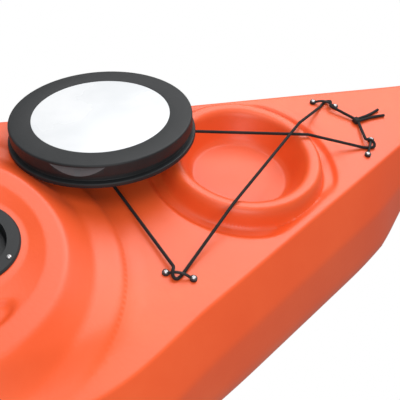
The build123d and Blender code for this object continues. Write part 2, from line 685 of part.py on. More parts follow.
# ---------------------------------------------------------------- flush rod holders

def rod_place(side):
    """The tube's axis, leaning aft, where it meets the deck."""
    return Pos(ROD_X, side * ROD_Y, DECK_Z) * Rot(0, ROD_TILT, 0)


def rod_screw_places():
    half_x, half_y = ROD_FLANGE[0] / 2 - 9, ROD_FLANGE[1] / 2 - 8
    return [(ROD_X + sx * half_x, side * ROD_Y + sy * half_y)
            for side in (1, -1) for sx in (-1, 1) for sy in (-1, 1)]


def rod_holders():
    """Two flanged tubes set through the deck, and their screws."""
    tubes = []
    for side in (1, -1):
        place = rod_place(side)
        flange = Box(*ROD_FLANGE)
        flange = fillet(flange.edges().filter_by(Axis.Z), 26)
        flange = Pos(ROD_X, side * ROD_Y, DECK_Z + ROD_FLANGE[2] / 2) * flange
        body = place * Pos(0, 0, -ROD_TUBE_LENGTH / 2 + 14) * Cylinder(ROD_BORE_R + ROD_TUBE_WALL, ROD_TUBE_LENGTH)
        body = body & block(-600, 600, -600, 600, 0, DECK_Z + ROD_FLANGE[2])
        bore = place * Pos(0, 0, 60) * Cylinder(ROD_BORE_R, 2 * ROD_TUBE_LENGTH)
        holder = flange + body - bore
        for x, y in rod_screw_places():
            holder = holder - Pos(x, y, DECK_Z) * Cylinder(SCREW_HOLE_R, 12)
        tubes.append(holder)
    return {
        "rod_holder_right": tubes[0],
        "rod_holder_left": tubes[1],
        "rod_holder_screws": screws(rod_screw_places(), DECK_Z + ROD_FLANGE[2], 14),
    }


# ---------------------------------------------------------------- swivelling rod holder

def swivel_z():
    return DECK_Z + station_at(SWIVEL_X)[1]


def swivel_screw_places():
    return [(SWIVEL_X + x, y) for x, y in around(SWIVEL_BASE_R - 10, 4, 45)]


def swivel_pieces():
    """Base on the bow deck, the post that turns in it and the tilting cradle."""
    z = swivel_z()
    place = Pos(SWIVEL_X, 0, z)
    base = revolve_profile([(0, 0), (SWIVEL_BASE_R, 0), (SWIVEL_BASE_R, 4), (SWIVEL_BASE_R - 3, 6),
                            (SWIVEL_POST_R + 9, 6), (SWIVEL_POST_R + 6, SWIVEL_BASE_H), (0, SWIVEL_BASE_H)])
    base = base - Pos(0, 0, SWIVEL_BASE_H) * Cylinder(SWIVEL_POST_R + 0.05, 2 * (SWIVEL_BASE_H - 2))
    for x, y in around(SWIVEL_BASE_R - 10, 4, 45):
        base = base - Pos(x, y, 0) * Cylinder(SCREW_HOLE_R, 60)
    stem = disc(SWIVEL_POST_R, 2.3, SWIVEL_BASE_H + 1)
    shoulder = disc(SWIVEL_POST_R + 5, SWIVEL_BASE_H + FIT, SWIVEL_BASE_H + 6)
    top = SWIVEL_BASE_H + SWIVEL_POST_H
    fork = block(-11, 11, -15, 15, SWIVEL_BASE_H + 4, top + 9) - block(-20, 20, -7.2, 7.2, top - 14, top + 20)
    post = stem + shoulder + fork - Pos(0, 0, top) * Rot(90, 0, 0) * Cylinder(4.1, 60)
    bolt = Pos(0, 0, top) * Rot(90, 0, 0) * Cylinder(4.0, 32) + \
        Pos(0, -18.2, top) * Rot(90, 0, 0) * Cylinder(8, 5) + Pos(0, 18.6, top) * Rot(90, 0, 0) * Cylinder(10, 6)
    tilt = Pos(0, 0, top) * Rot(0, 38, 0)
    axis_z = 22 + CRADLE_R + CRADLE_WALL - 4
    lug = block(-9, 9, -7, 7, -9, 24) - Rot(90, 0, 0) * Cylinder(4.1, 30)
    barrel = Rot(0, 90, 0) * (Cylinder(CRADLE_R + CRADLE_WALL, CRADLE_LENGTH) - Cylinder(CRADLE_R, CRADLE_LENGTH + 2))
    slot = block(-CRADLE_LENGTH, CRADLE_LENGTH, -13, 13, 0, 60)
    seat = Pos(-CRADLE_LENGTH * 0.1, 0, axis_z)
    lug = lug - seat * Rot(0, 90, 0) * Cylinder(CRADLE_R, CRADLE_LENGTH)
    cradle = lug + seat * (barrel - slot)
    return {
        "swivel_base": place * base,
        "swivel_base_screws": screws(swivel_screw_places(), z + 6, 22),
        "swivel_post": place * post,
        "swivel_bolt": place * bolt,
        "rod_cradle": place * tilt * cradle,
    }


# ---------------------------------------------------------------- carry toggles and drain plug

def toggle(end):
    """Rope loop through the tip and the grip that hangs on it, resting against the stem."""
    x, z = toggle_hole(end)
    out = TOGGLE_INSET + TOGGLE_R + 1.5
    drop = sqrt(TOGGLE_REACH ** 2 - out ** 2)
    half = TOGGLE_HALF
    corners = [(0, 0, 0), (0, -half, 0), (end * out, -half, -drop), (end * out, 0, -drop)]
    path = FilletPolyline(*corners, radius=[8, 8])
    leg = sweep(Plane(origin=path @ 0, z_dir=path % 0) * Circle(TOGGLE_ROPE_R), path=path)
    rope = leg + mirror(leg, Plane.XZ)
    grip = fillet(Cylinder(TOGGLE_R, 2 * half - 22).edges(), 4) - Cylinder(TOGGLE_ROPE_R + FIT, 3 * half)
    return Pos(x, 0, z) * rope, Pos(x + end * out, 0, z - drop) * Rot(90, 0, 0) * grip


def drain_plug():
    """Threaded plug with a finger bar, at the stern."""
    z = DECK_Z + station_at(PLUG_X)[1]
    plug = disc(PLUG_R, 0.6 + 3, 6 + 3) + Pos(0, 0, 9) * Box(2 * PLUG_R - 4, 5, 8) + disc(PLUG_R * 0.6, -14, 4)
    return Pos(PLUG_X, 0, z) * plug


def main():
    """Builds every node and writes one STEP file for each."""
    os.makedirs("parts", exist_ok=True)
    nodes = {"hull": hull()}
    nodes.update(hatch_pieces())
    nodes.update(lid_pieces())
    nodes.update(rigging_pieces())
    nodes.update(seat_pieces())
    for side, word in ((1, "right"), (-1, "left")):
        nodes[f"foot_rail_{word}"], nodes[f"foot_pedal_{word}"] = foot_brace(side)
    rail_screws = [frame * Pos(0, 0, 0.9) * screw(15) for side in (1, -1) for frame in rail_screw_frames(side)]
    nodes["foot_rail_screws"] = Compound(children=rail_screws)
    nodes.update(rod_holders())
    nodes.update(swivel_pieces())
    for end, word in ((-1, "bow"), (1, "stern")):
        nodes[f"{word}_toggle_rope"], nodes[f"{word}_toggle_grip"] = toggle(end)
    nodes["drain_plug"] = drain_plug()
    for name, shape in nodes.items():
        write(shape, name)


main()
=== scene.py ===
"""The looks of a small fishing kayak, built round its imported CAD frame.

Everything is in metres in the CAD's own frame: +X to the stern, +Z up, the keel at z = 0.
"""
import json
import logging
import math
from dataclasses import dataclass, field
from enum import Enum
from typing import Callable, Iterable, Sequence

import bmesh
import bpy
import numpy as np
from mathutils import Matrix, Vector
from mathutils.geometry import delaunay_2d_cdt


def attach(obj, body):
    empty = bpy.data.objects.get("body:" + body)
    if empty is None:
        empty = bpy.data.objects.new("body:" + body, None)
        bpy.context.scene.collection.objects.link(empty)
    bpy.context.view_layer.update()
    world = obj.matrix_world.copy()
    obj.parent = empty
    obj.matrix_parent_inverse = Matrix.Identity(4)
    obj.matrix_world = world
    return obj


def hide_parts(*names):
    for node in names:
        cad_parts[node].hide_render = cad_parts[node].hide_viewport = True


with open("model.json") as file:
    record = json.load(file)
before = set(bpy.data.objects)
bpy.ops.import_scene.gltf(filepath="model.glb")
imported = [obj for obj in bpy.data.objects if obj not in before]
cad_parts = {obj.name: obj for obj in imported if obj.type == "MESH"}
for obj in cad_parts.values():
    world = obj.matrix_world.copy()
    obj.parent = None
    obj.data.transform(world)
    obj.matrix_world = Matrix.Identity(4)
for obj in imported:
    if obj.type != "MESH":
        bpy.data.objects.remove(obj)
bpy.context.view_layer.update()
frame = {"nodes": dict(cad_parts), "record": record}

logging.basicConfig(level=logging.INFO, format="%(name)s: %(message)s")
LOG = logging.getLogger("kayak")

Point = tuple[float, float, float]
DECK = 0.310


# ------------------------------------------------------------------ shader maths

class Sock:
    """An output socket that can be added, multiplied and compared in Python."""

    def __init__(self, net: "Net", socket: bpy.types.NodeSocket) -> None:
        """Keeps the socket and the net it belongs to."""
        self.net = net
        self.socket = socket

    def _math(self, operation: str, *others: "Sock | float") -> "Sock":
        """Adds one Math node.

        Args:
            operation: the node's operation.
            others: what stands in the node's other inputs.

        Returns:
            The node's result.
        """
        return self.net.maths(operation, self, *others)

    def __add__(self, other: "Sock | float") -> "Sock":
        """The sum."""
        return self._math("ADD", other)

    __radd__ = __add__

    def __sub__(self, other: "Sock | float") -> "Sock":
        """The difference."""
        return self._math("SUBTRACT", other)

    def __rsub__(self, other: "Sock | float") -> "Sock":
        """The difference, the other way round."""
        return self.net.maths("SUBTRACT", other, self)

    def __mul__(self, other: "Sock | float") -> "Sock":
        """The product."""
        return self._math("MULTIPLY", other)

    __rmul__ = __mul__

    def ramp(self, low: float, high: float) -> "Sock":
        """A smooth step.

        Args:
            low: where it leaves 0.
            high: where it reaches 1.

        Returns:
            The step's value.
        """
        return self.net.node("ShaderNodeMapRange", {"interpolation_type": "SMOOTHSTEP", "clamp": True},
                             {"Value": self, "From Min": low, "From Max": high})


class Net:
    """A material's node tree with one method for every kind of node."""

    def __init__(self, name: str) -> None:
        """Starts a material with a Principled surface.

        Args:
            name: the material's name.
        """
        self.material = bpy.data.materials.new(name)
        self.material.use_nodes = True
        self.tree = self.material.node_tree
        self.shader = self.tree.nodes["Principled BSDF"]

    def _fill(self, node: bpy.types.Node, key: "str | int", value: object) -> None:
        """Puts a value or a link on one input socket."""
        socket = node.inputs[key]
        if isinstance(value, Sock):
            self.tree.links.new(value.socket, socket)
        else:
            socket.default_value = value

    def node(self, kind: str, settings: "dict[str, object] | None" = None,
             inputs: "dict[str | int, object] | None" = None, output: "str | int" = 0) -> Sock:
        """Adds one node.

        Args:
            kind: the node's type.
            settings: its properties, set first; "stops" holds a colour ramp's stops.
            inputs: values or links for its sockets.
            output: the socket to give back.

        Returns:
            The output socket.
        """
        node = self.tree.nodes.new(kind)
        for key, value in (settings or {}).items():
            if key == "stops":
                ramp = node.color_ramp
                for index, (at, colour) in enumerate(value):
                    stop = ramp.elements[index] if index < 2 else ramp.elements.new(at)
                    stop.position, stop.color = at, (*colour, 1.0)
            else:
                setattr(node, key, value)
        for key, value in (inputs or {}).items():
            self._fill(node, key, value)
        return Sock(self, node.outputs[output])

    def maths(self, operation: str, *values: "Sock | float") -> Sock:
        """A Math node on up to three values."""
        return self.node("ShaderNodeMath", {"operation": operation}, dict(enumerate(values)))

    def coords(self) -> Sock:
        """The piece's object coordinates."""
        return self.node("ShaderNodeTexCoord", output="Object")

    def split(self, vector: Sock) -> "list[Sock]":
        """The three numbers of a vector."""
        node = self.node("ShaderNodeSeparateXYZ", inputs={0: vector}).socket.node
        return [Sock(self, socket) for socket in node.outputs]

    def noise(self, vector: Sock, scale: float, detail: float = 3.0, rough: float = 0.5) -> Sock:
        """Soft noise between 0 and 1."""
        return self.node("ShaderNodeTexNoise", {"noise_dimensions": "3D"},
                         {"Vector": vector, "Scale": scale, "Detail": detail, "Roughness": rough})

    def blend(self, factor: Sock, first: object, second: object) -> Sock:
        """A mix of two colours, each a link or three numbers."""
        def paint(value: object) -> object:
            return value if isinstance(value, Sock) else (*value, 1.0)
        return self.node("ShaderNodeMix", {"data_type": "RGBA"}, {0: factor, 6: paint(first), 7: paint(second)}, 2)

    def bump(self, height: Sock, strength: float, distance: float, after: "Sock | None" = None) -> Sock:
        """A Bump node, which may follow another."""
        inputs: "dict[str | int, object]" = {"Height": height, "Strength": strength, "Distance": distance}
        if after is not None:
            inputs["Normal"] = after
        return self.node("ShaderNodeBump", None, inputs)

    def surface(self, **sockets: object) -> bpy.types.Material:
        """Sets the shader's sockets.

        Args:
            sockets: each socket's name, with _ for a space, and its value or link.

        Returns:
            The finished material.
        """
        for name, value in sockets.items():
            self._fill(self.shader, name.replace("_", " "), value)
        return self.material


# ------------------------------------------------------------------ finishes

@dataclass(frozen=True)
class MouldedPolythene:
    """Satin rotomoulded plastic: faint mottling, a fine orange-peel skin and rubbed edges."""
    name: str = "moulded_polythene"
    colour: Point = (0.86, 0.112, 0.024)
    deep: Point = (0.80, 0.088, 0.016)
    pale: Point = (0.90, 0.205, 0.075)
    roughness: float = 0.34

    def material(self) -> bpy.types.Material:
        """Builds the finish."""
        net = Net(self.name)
        where = net.coords()
        cloud = net.noise(where, 3.2, 4.0, 0.55)
        grain = net.noise(where, 420.0, 2.0, 0.6)
        skin = net.noise(where, 150.0, 2.0, 0.5)
        drawn = net.node("ShaderNodeMapping", None, {"Vector": where, "Scale": (1.0, 6.0, 6.0)})
        scuff = net.noise(drawn, 38.0, 5.0, 0.7)
        colour = net.blend(cloud.ramp(0.3, 0.72), self.deep, self.colour)
        colour = net.blend(cloud.ramp(0.55, 0.85) * 0.35, colour, self.pale)
        colour = net.blend(scuff.ramp(0.66, 0.86) * 0.16, colour, self.pale)
        rough = self.roughness + 0.10 * cloud + 0.10 * scuff.ramp(0.55, 0.8)
        fine = net.bump(grain, 0.10, 0.0004)
        return net.surface(Base_Color=colour, Roughness=rough, Normal=net.bump(skin, 0.14, 0.0012, fine),
                           IOR=1.5, Subsurface_Weight=0.0)


@dataclass(frozen=True)
class BlackNylon:
    """Moulded black plastic with a fine spark-eroded texture."""
    name: str = "black_nylon"
    colour: Point = (0.013, 0.0145, 0.016)
    # The dust tone; in the finger scoop's copy of this finish it is a lighter grey that paints in light caught from
    # above.
    dust_and_painted_light: Point = (0.022, 0.024, 0.026)
    roughness: float = 0.42
    grain: float = 900.0
    bump_depth: float = 0.0003

    def material(self) -> bpy.types.Material:
        """Builds the finish."""
        net = Net(self.name)
        where = net.coords()
        grain = net.noise(where, self.grain, 2.0, 0.65)
        dust = net.noise(where, 24.0, 5.0, 0.65)
        colour = net.blend(dust.ramp(0.42, 0.8) * 0.55, self.colour, self.dust_and_painted_light)
        rough = self.roughness + 0.12 * dust + 0.06 * grain
        return net.surface(Base_Color=colour, Roughness=rough, Normal=net.bump(grain, 0.35, self.bump_depth),
                           Specular_IOR_Level=0.32)


@dataclass(frozen=True)
class WhiteSheet:
    """Smooth white sheet with a faint unevenness."""
    name: str = "white_sheet"

    def material(self) -> bpy.types.Material:
        """Builds the finish."""
        net = Net(self.name)
        where = net.coords()
        cloud = net.noise(where, 9.0, 3.0)
        colour = net.blend(cloud.ramp(0.3, 0.8), (0.70, 0.72, 0.74), (0.80, 0.81, 0.825))
        return net.surface(Base_Color=colour, Roughness=0.22 + 0.10 * cloud,
                           Normal=net.bump(net.noise(where, 60.0), 0.05, 0.0004), IOR=1.46)


@dataclass(frozen=True)
class Stainless:
    """Bright stainless steel with fine turning marks."""
    name: str = "stainless"
    colour: Point = (0.66, 0.66, 0.67)

    def material(self) -> bpy.types.Material:
        """Builds the finish."""
        net = Net(self.name)
        where = net.coords()
        cloud = net.noise(where, 300.0, 4.0)
        return net.surface(Base_Color=net.blend(cloud, self.colour, (0.5, 0.5, 0.51)), Metallic=1.0,
                           Roughness=0.22 + 0.2 * cloud, Normal=net.bump(cloud, 0.1, 0.0002))


@dataclass(frozen=True)
class SoftRubber:
    """Dull black rubber or closed-cell foam."""
    name: str = "soft_rubber"
    colour: Point = (0.028, 0.028, 0.029)
    cell: float = 500.0

    def material(self) -> bpy.types.Material:
        """Builds the finish."""
        net = Net(self.name)
        where = net.coords()
        pore = net.node("ShaderNodeTexVoronoi", {"feature": "F1"}, {"Vector": where, "Scale": self.cell})
        cloud = net.noise(where, 18.0, 4.0)
        lighter = tuple(min(1.0, c * 1.7 + 0.01) for c in self.colour)
        return net.surface(Base_Color=net.blend(cloud.ramp(0.3, 0.8), self.colour, lighter),
                           Roughness=0.78 + 0.15 * cloud, Normal=net.bump(pore, 0.3, 0.0004))


@dataclass(frozen=True)
class SeatCloth:
    """Coarse woven polyester over foam."""
    name: str = "seat_cloth"
    colour: Point = (0.030, 0.031, 0.036)
    light: Point = (0.085, 0.088, 0.10)
    threads: float = 620.0

    def material(self) -> bpy.types.Material:
        """Builds the finish."""
        net = Net(self.name)
        where = net.coords()
        x, y, z = net.split(where)
        warp = net.maths("SINE", (x + z) * (self.threads * math.pi))
        weft = net.maths("SINE", y * (self.threads * math.pi))
        weave = (warp * weft) * 0.5 + 0.5
        cloud = net.noise(where, 14.0, 4.0)
        colour = net.blend(weave * 0.6 + cloud * 0.3, self.colour, self.light)
        return net.surface(Base_Color=colour, Roughness=0.82 + 0.1 * cloud, Normal=net.bump(weave, 0.5, 0.0007),
                           Sheen_Weight=0.4)


@dataclass(frozen=True)
class Anodised:
    """Satin anodised aluminium."""
    name: str = "anodised"

    def material(self) -> bpy.types.Material:
        """Builds the finish."""
        net = Net(self.name)
        streak = net.noise(net.node("ShaderNodeMapping", None, {"Vector": net.coords(), "Scale": (4.0, 90.0, 90.0)}),
                           12.0, 3.0)
        return net.surface(Base_Color=net.blend(streak, (0.42, 0.43, 0.45), (0.55, 0.56, 0.58)), Metallic=1.0,
                           Roughness=0.34 + 0.14 * streak)


# ------------------------------------------------------------------ mesh making

def mesh_object(name: str, verts: Sequence[Sequence[float]], faces: Iterable[Sequence[int]],
                smooth: bool = True) -> bpy.types.Object:
    """Makes an object from points and faces.

    Args:
        name: the piece's name.
        verts: its points.
        faces: its faces as point numbers.
        smooth: whether it is shaded smooth.

    Returns:
        The object, at the origin.
    """
    mesh = bpy.data.meshes.new(name)
    mesh.from_pydata([tuple(map(float, v)) for v in verts], [], [tuple(map(int, f)) for f in faces])
    mesh.update()
    if smooth:
        mesh.shade_smooth()
    piece = bpy.data.objects.new(name, mesh)
    bpy.context.scene.collection.objects.link(piece)
    return piece


def tidy(piece: bpy.types.Object, merge: float = 0.00005, outward: bool = True) -> bpy.types.Object:
    """Merges doubled points and turns the faces outwards.

    Args:
        piece: the object.
        merge: the distance within which points are merged.
        outward: whether the normals are worked out again.

    Returns:
        The same object.
    """
    bm = bmesh.new()
    bm.from_mesh(piece.data)
    bmesh.ops.remove_doubles(bm, verts=bm.verts, dist=merge)
    bmesh.ops.dissolve_degenerate(bm, edges=bm.edges, dist=merge * 0.5)
    if outward:
        bmesh.ops.recalc_face_normals(bm, faces=bm.faces)
    bm.to_mesh(piece.data)
    bm.free()
    piece.data.shade_smooth()
    return piece


def bake(piece: bpy.types.Object) -> bpy.types.Object:
    """Applies every modifier to the piece's mesh.

    Args:
        piece: the object.

    Returns:
        The same object with a plain mesh.
    """
    graph = bpy.context.evaluated_depsgraph_get()
    made = bpy.data.meshes.new_from_object(piece.evaluated_get(graph))
    old = piece.data
    piece.modifiers.clear()
    piece.data = made
    if not old.users:
        bpy.data.meshes.remove(old)
    return piece


def crease_by_angle(piece: bpy.types.Object, degrees: float) -> bpy.types.Object:
    """Marks edges sharper than an angle as sharp, so that they shade crisply."""
    piece.data.set_sharp_from_angle(angle=math.radians(degrees))
    return piece


def rounded(points: Sequence[Sequence[float]], cuts: Sequence[float],
            steps: Sequence[int]) -> "list[tuple[float, ...]]":
    """Rounds a polyline's corners.

    Args:
        points: the polyline, in two or three dimensions.
        cuts: how far along its sides each corner is cut back; the ends' are not used.
        steps: the points on each corner's curve.

    Returns:
        The rounded polyline, with always the same number of points.
    """
    pts = [np.array(p, float) for p in points]
    out = [tuple(pts[0])]
    for i in range(1, len(pts) - 1):
        back, ahead = pts[i - 1] - pts[i], pts[i + 1] - pts[i]
        lb, la = np.linalg.norm(back), np.linalg.norm(ahead)
        cut = min(cuts[i], 0.46 * lb, 0.46 * la)
        start, end = pts[i] + back / max(lb, 1e-9) * cut, pts[i] + ahead / max(la, 1e-9) * cut
        for k in range(steps[i]):
            t = k / (steps[i] - 1)
            out.append(tuple((1 - t) ** 2 * start + 2 * t * (1 - t) * pts[i] + t * t * end))
    out.append(tuple(pts[-1]))
    return out


def turned(name: str, profile: Sequence[Sequence[float]], count: int = 192, closed: bool = True) -> bpy.types.Object:
    """A solid of revolution about Z.

    Args:
        name: the piece's name.
        profile: (radius, height) points.
        count: the number of steps round.
        closed: whether the last point joins the first.

    Returns:
        The piece.
    """
    rings = len(profile)
    verts = []
    for k in range(count):
        a = 2 * math.pi * k / count
        verts += [(r * math.cos(a), r * math.sin(a), z) for r, z in profile]
    faces = []
    for k in range(count):
        n = (k + 1) % count
        for j in range(rings if closed else rings - 1):
            m = (j + 1) % rings
            faces.append((k * rings + j, n * rings + j, n * rings + m, k * rings + m))
    return tidy(mesh_object(name, verts, faces))


# ------------------------------------------------------------------ studio

@dataclass
class Studio:
    """The camera and lights, and a floor that nothing lays yet."""
    eye: Point = (0.085911, -0.880005, 1.075221 + DECK)
    heading: float = 39.104
    down: float = 45.142
    roll: float = 9.506
    focal: float = 72.46
    ambient: float = 0.36
    sensor: float = 36.0
    clip: "tuple[float, float]" = (0.05, 60.0)
    # name, place, aim, side in metres, watts
    lamps: "tuple[tuple[str, Point, Point, float, float], ...]" = (
        ("key", (2.1, 1.8, 2.7), (0.7, 0.0, DECK), 2.6, 74.0),
        ("sky", (0.2, -0.6, 3.9), (0.7, 0.0, DECK), 2.2, 40.0),
        ("fill", (-0.4, -2.2, 1.7), (0.6, 0.0, 0.2), 1.6, 30.0),
        ("rim", (3.2, 0.6, 2.4), (0.7, 0.0, DECK), 1.8, 26.0))

    def camera(self) -> None:
        """Sets the camera."""
        yaw, pitch, roll = (math.radians(a) for a in (self.heading, self.down, self.roll))
        ahead = Vector((math.sin(yaw) * math.cos(pitch), math.cos(yaw) * math.cos(pitch), -math.sin(pitch)))
        right = Vector((math.cos(yaw), -math.sin(yaw), 0.0))
        up = right.cross(ahead)
        right_rolled = right * math.cos(roll) + up * math.sin(roll)
        up_rolled = up * math.cos(roll) - right * math.sin(roll)
        data = bpy.data.cameras.new("camera")
        data.lens, data.sensor_width = self.focal, self.sensor
        data.clip_start, data.clip_end = self.clip
        camera = bpy.data.objects.new("camera", data)
        turn = Matrix((right_rolled, up_rolled, -ahead)).transposed().to_4x4()
        camera.matrix_world = Matrix.Translation(self.eye) @ turn
        bpy.context.scene.collection.objects.link(camera)
        bpy.context.scene.camera = camera

    def lamp(self, name: str, place: Point, aim: Point, size: float, power: float) -> None:
        """Adds one soft square lamp.

        Args:
            name: its name.
            place: where it stands.
            aim: what it points at.
            size: its side in metres.
            power: its power in watts.
        """
        data = bpy.data.lights.new(name, "AREA")
        data.shape, data.size, data.energy = "SQUARE", size, power
        lamp = bpy.data.objects.new(name, data)
        turn = (Vector(aim) - Vector(place)).to_track_quat("-Z", "Y").to_matrix().to_4x4()
        lamp.matrix_world = Matrix.Translation(place) @ turn
        bpy.context.scene.collection.objects.link(lamp)

    def floor(self) -> None:
        """Lays the pale floor."""
        net = Net("floor")
        material = net.surface(Base_Color=(0.9, 0.9, 0.9, 1.0), Roughness=0.9,
                               Emission_Color=(1.0, 1.0, 1.0, 1.0), Emission_Strength=0.80)
        size = 14.0
        corners = [(-size, -size, 0), (size, -size, 0), (size, size, 0), (-size, size, 0)]
        ground = mesh_object("floor", corners, [(0, 1, 2, 3)], False)
        ground.location.z = -0.0006
        ground.data.materials.append(material)

    def build(self) -> None:
        """Makes the camera, the lamps and the white surround; the floor is not laid."""
        self.camera()
        for lamp in self.lamps:
            self.lamp(*lamp)
        world = bpy.data.worlds.new("studio")
        world.use_nodes = True
        world.node_tree.nodes["Background"].inputs[0].default_value = (1, 1, 1, 1)
        nodes, links = world.node_tree.nodes, world.node_tree.links
        seen, level = nodes.new("ShaderNodeLightPath"), nodes.new("ShaderNodeMapRange")
        level.inputs["To Min"].default_value, level.inputs["To Max"].default_value = self.ambient, 1.0
        links.new(seen.outputs["Is Camera Ray"], level.inputs["Value"])
        links.new(level.outputs[0], nodes["Background"].inputs[1])
        bpy.context.scene.world = world
        bpy.context.scene.view_settings.view_transform = "Standard"


# ------------------------------------------------------------------ hull

WELL_RADII: "tuple[float, ...]" = (
    .094, .0965, .099, .102, .105, .109, .113, .117, .121, .1245, .127, .129, .131, .1335, .1365, .140, .144, .148,
    .1515, .1545, .157, .159, .161, .163, .165, .167, .169, .172, .176, .180, .184, .187, .1895, .192, .1945, .197,
    .2, .204, .208, .2115, .2145, .217, .2195, .223)


def eased(share: np.ndarray) -> np.ndarray:
    """A share held between 0 and 1, leaving and arriving level."""
    share = np.clip(share, 0, 1)
    return share * share * (3 - 2 * share)


def logistic(value: np.ndarray) -> np.ndarray:
    """A soft switch from 0 to 1 about zero."""
    return 1 / (1 + np.exp(-np.clip(value, -30, 30)))


@dataclass
class Hull:
    """The moulded boat: one skin with its deck, mound, well, coaming and sides."""
    half_length: float = 1.575
    wall: float = 0.0045
    # x, deck half width, deck rise, keel height, half width of the flat bottom
    stations: "list[tuple[float, ...]]" = field(default_factory=lambda: [
        (-1.575, .008, .034, .236, .006), (-1.530, .026, .027, .150, .014), (-1.430, .079, .012, .076, .034),
        (-1.330, .127, .000, .044, .058), (-1.200, .184, .000, .020, .090), (-0.950, .266, .000, .003, .140),
        (-0.650, .320, .000, .000, .180), (-0.250, .341, .000, .000, .200), (0.150, .341, .000, .000, .200),
        (0.400, .334, .000, .000, .185), (0.650, .266, .000, .000, .150), (0.900, .195, .000, .008, .115),
        (1.150, .124, .000, .030, .075), (1.350, .067, .000, .070, .042), (1.500, .026, .006, .140, .018),
        (1.575, .008, .012, .245, .006)])
    bevel_drop: float = 0.075
    bevel_out: float = 0.055
    beam_drop: float = 0.150
    beam_out: float = 0.060
    flare_out: float = 0.030
    flare_drop: float = 0.035
    flare_rise: float = 0.750
    flare_end: "tuple[float, float]" = (1.520, 0.470)
    edge: float = 0.012
    well_rub: float = 0.0028
    mound_rub: float = 0.003
    well_fade: float = 0.030
    mound_fade: float = 0.085
    panel_fade: float = 0.06
    # radius, softness, depth, start in x and length of the start
    panel: "tuple[float, ...]" = (0.2165, 0.0035, 0.0022, 0.70, 0.10)
    pocket_turn: "tuple[float, float]" = (0.97, 0.24)
    pocket_edge: float = 14.0
    tip: float = 0.008
    rear: "tuple[float, float]" = (-0.365, 0.235)
    front: "tuple[float, float]" = (-0.935, 0.165)
    mound_rings: "list[tuple[float, float, float]]" = field(default_factory=lambda: [
        (0.250, 0.420, 0.0), (0.249, 0.339, 0.004), (0.248, 0.329, 0.014), (0.240, 0.292, 0.022),
        (0.243, 0.240, 0.056), (0.262, 0.190, 0.055), (0.318, 0.110, 0.048), (0.324, 0.0745, 0.048)])
    well_x: float = 0.891
    well_profile: "list[tuple[float, float]]" = field(default_factory=lambda: [
        (0.0, -.032), (.094, -.032), (.104, -.024), (.128, .026), (.136, .030), (.151, .031), (.158, .022),
        (.166, -.010), (.187, -.010), (.1955, .000), (.30, .000)])
    hatch_hole: "tuple[float, float]" = (0.324, 0.0745)
    pocket: "tuple[float, float, float, float, float]" = (0.300, -0.160, 0.044, 0.021, 0.008)
    rod_hole: "tuple[float, float, float, float]" = (-0.066, 0.262, 0.0277, 0.0245)

    def pchip(self, column: int) -> Callable[[np.ndarray], np.ndarray]:
        """A smooth curve through one column of the stations.

        Args:
            column: which number of each station.

        Returns:
            The curve as a function of x.
        """
        xs = np.array([s[0] for s in self.stations])
        ys = np.array([s[column] for s in self.stations])
        h, d = np.diff(xs), np.diff(ys) / np.diff(xs)
        m = np.zeros_like(ys)
        for i in range(1, len(xs) - 1):
            if d[i - 1] * d[i] > 0:
                w1, w2 = 2 * h[i] + h[i - 1], h[i] + 2 * h[i - 1]
                m[i] = (w1 + w2) / (w1 / d[i - 1] + w2 / d[i])
        m[0], m[-1] = d[0], d[-1]

        def curve(x: np.ndarray) -> np.ndarray:
            """The curve's value at x."""
            x = np.clip(np.asarray(x, float), xs[0], xs[-1])
            i = np.clip(np.searchsorted(xs, x) - 1, 0, len(h) - 1)
            t = (x - xs[i]) / h[i]
            return ((1 + 2 * t) * (1 - t) ** 2 * ys[i] + t * (1 - t) ** 2 * h[i] * m[i]
                    + t * t * (3 - 2 * t) * ys[i + 1] + t * t * (t - 1) * h[i] * m[i + 1])
        return curve

    def __post_init__(self) -> None:
        """Prepares the curves that the stations give."""
        self.half_width, self.rise, self.keel, self.flat = (self.pchip(c) for c in (1, 2, 3, 4))

    @staticmethod
    def soften(profile: Sequence[Sequence[float]], width: float) -> Callable[[np.ndarray], np.ndarray]:
        """A polyline's height with its corners rubbed round.

        Args:
            profile: (radius, height) points, by growing radius.
            width: half the width that the rubbing takes.

        Returns:
            The height as a function of the radius.
        """
        rs, zs = np.array([p[0] for p in profile]), np.array([p[1] for p in profile])
        offsets = np.linspace(-1, 1, 9) * width
        weights = 1.2 - np.abs(np.linspace(-1, 1, 9))

        def height(r: np.ndarray) -> np.ndarray:
            """The height at radius r."""
            r = np.asarray(r, float)
            return sum(w * np.interp(r + o, rs, zs) for o, w in zip(offsets, weights)) / weights.sum()
        return height

    def mound_level(self, x: np.ndarray, y: np.ndarray) -> np.ndarray:
        """The radius of the mound's ring that passes through each point."""
        rings = sorted(self.mound_rings, key=lambda ring: ring[1])
        radii = np.linspace(0.0, 0.43, 431)
        centres = np.interp(radii, [r[1] for r in rings], [r[0] for r in rings])
        gap = np.hypot(x[:, None] - centres[None], y[:, None]) - radii[None]
        at = np.clip(np.argmax(gap < 0, axis=1), 1, 430)
        rows = np.arange(len(x))
        g0, g1 = gap[rows, at - 1], gap[rows, at]
        level = radii[at - 1] + (radii[at] - radii[at - 1]) * g0 / np.where(np.abs(g0 - g1) < 1e-9, 1, g0 - g1)
        return np.where(gap[:, -1] > 0, 0.43, level)

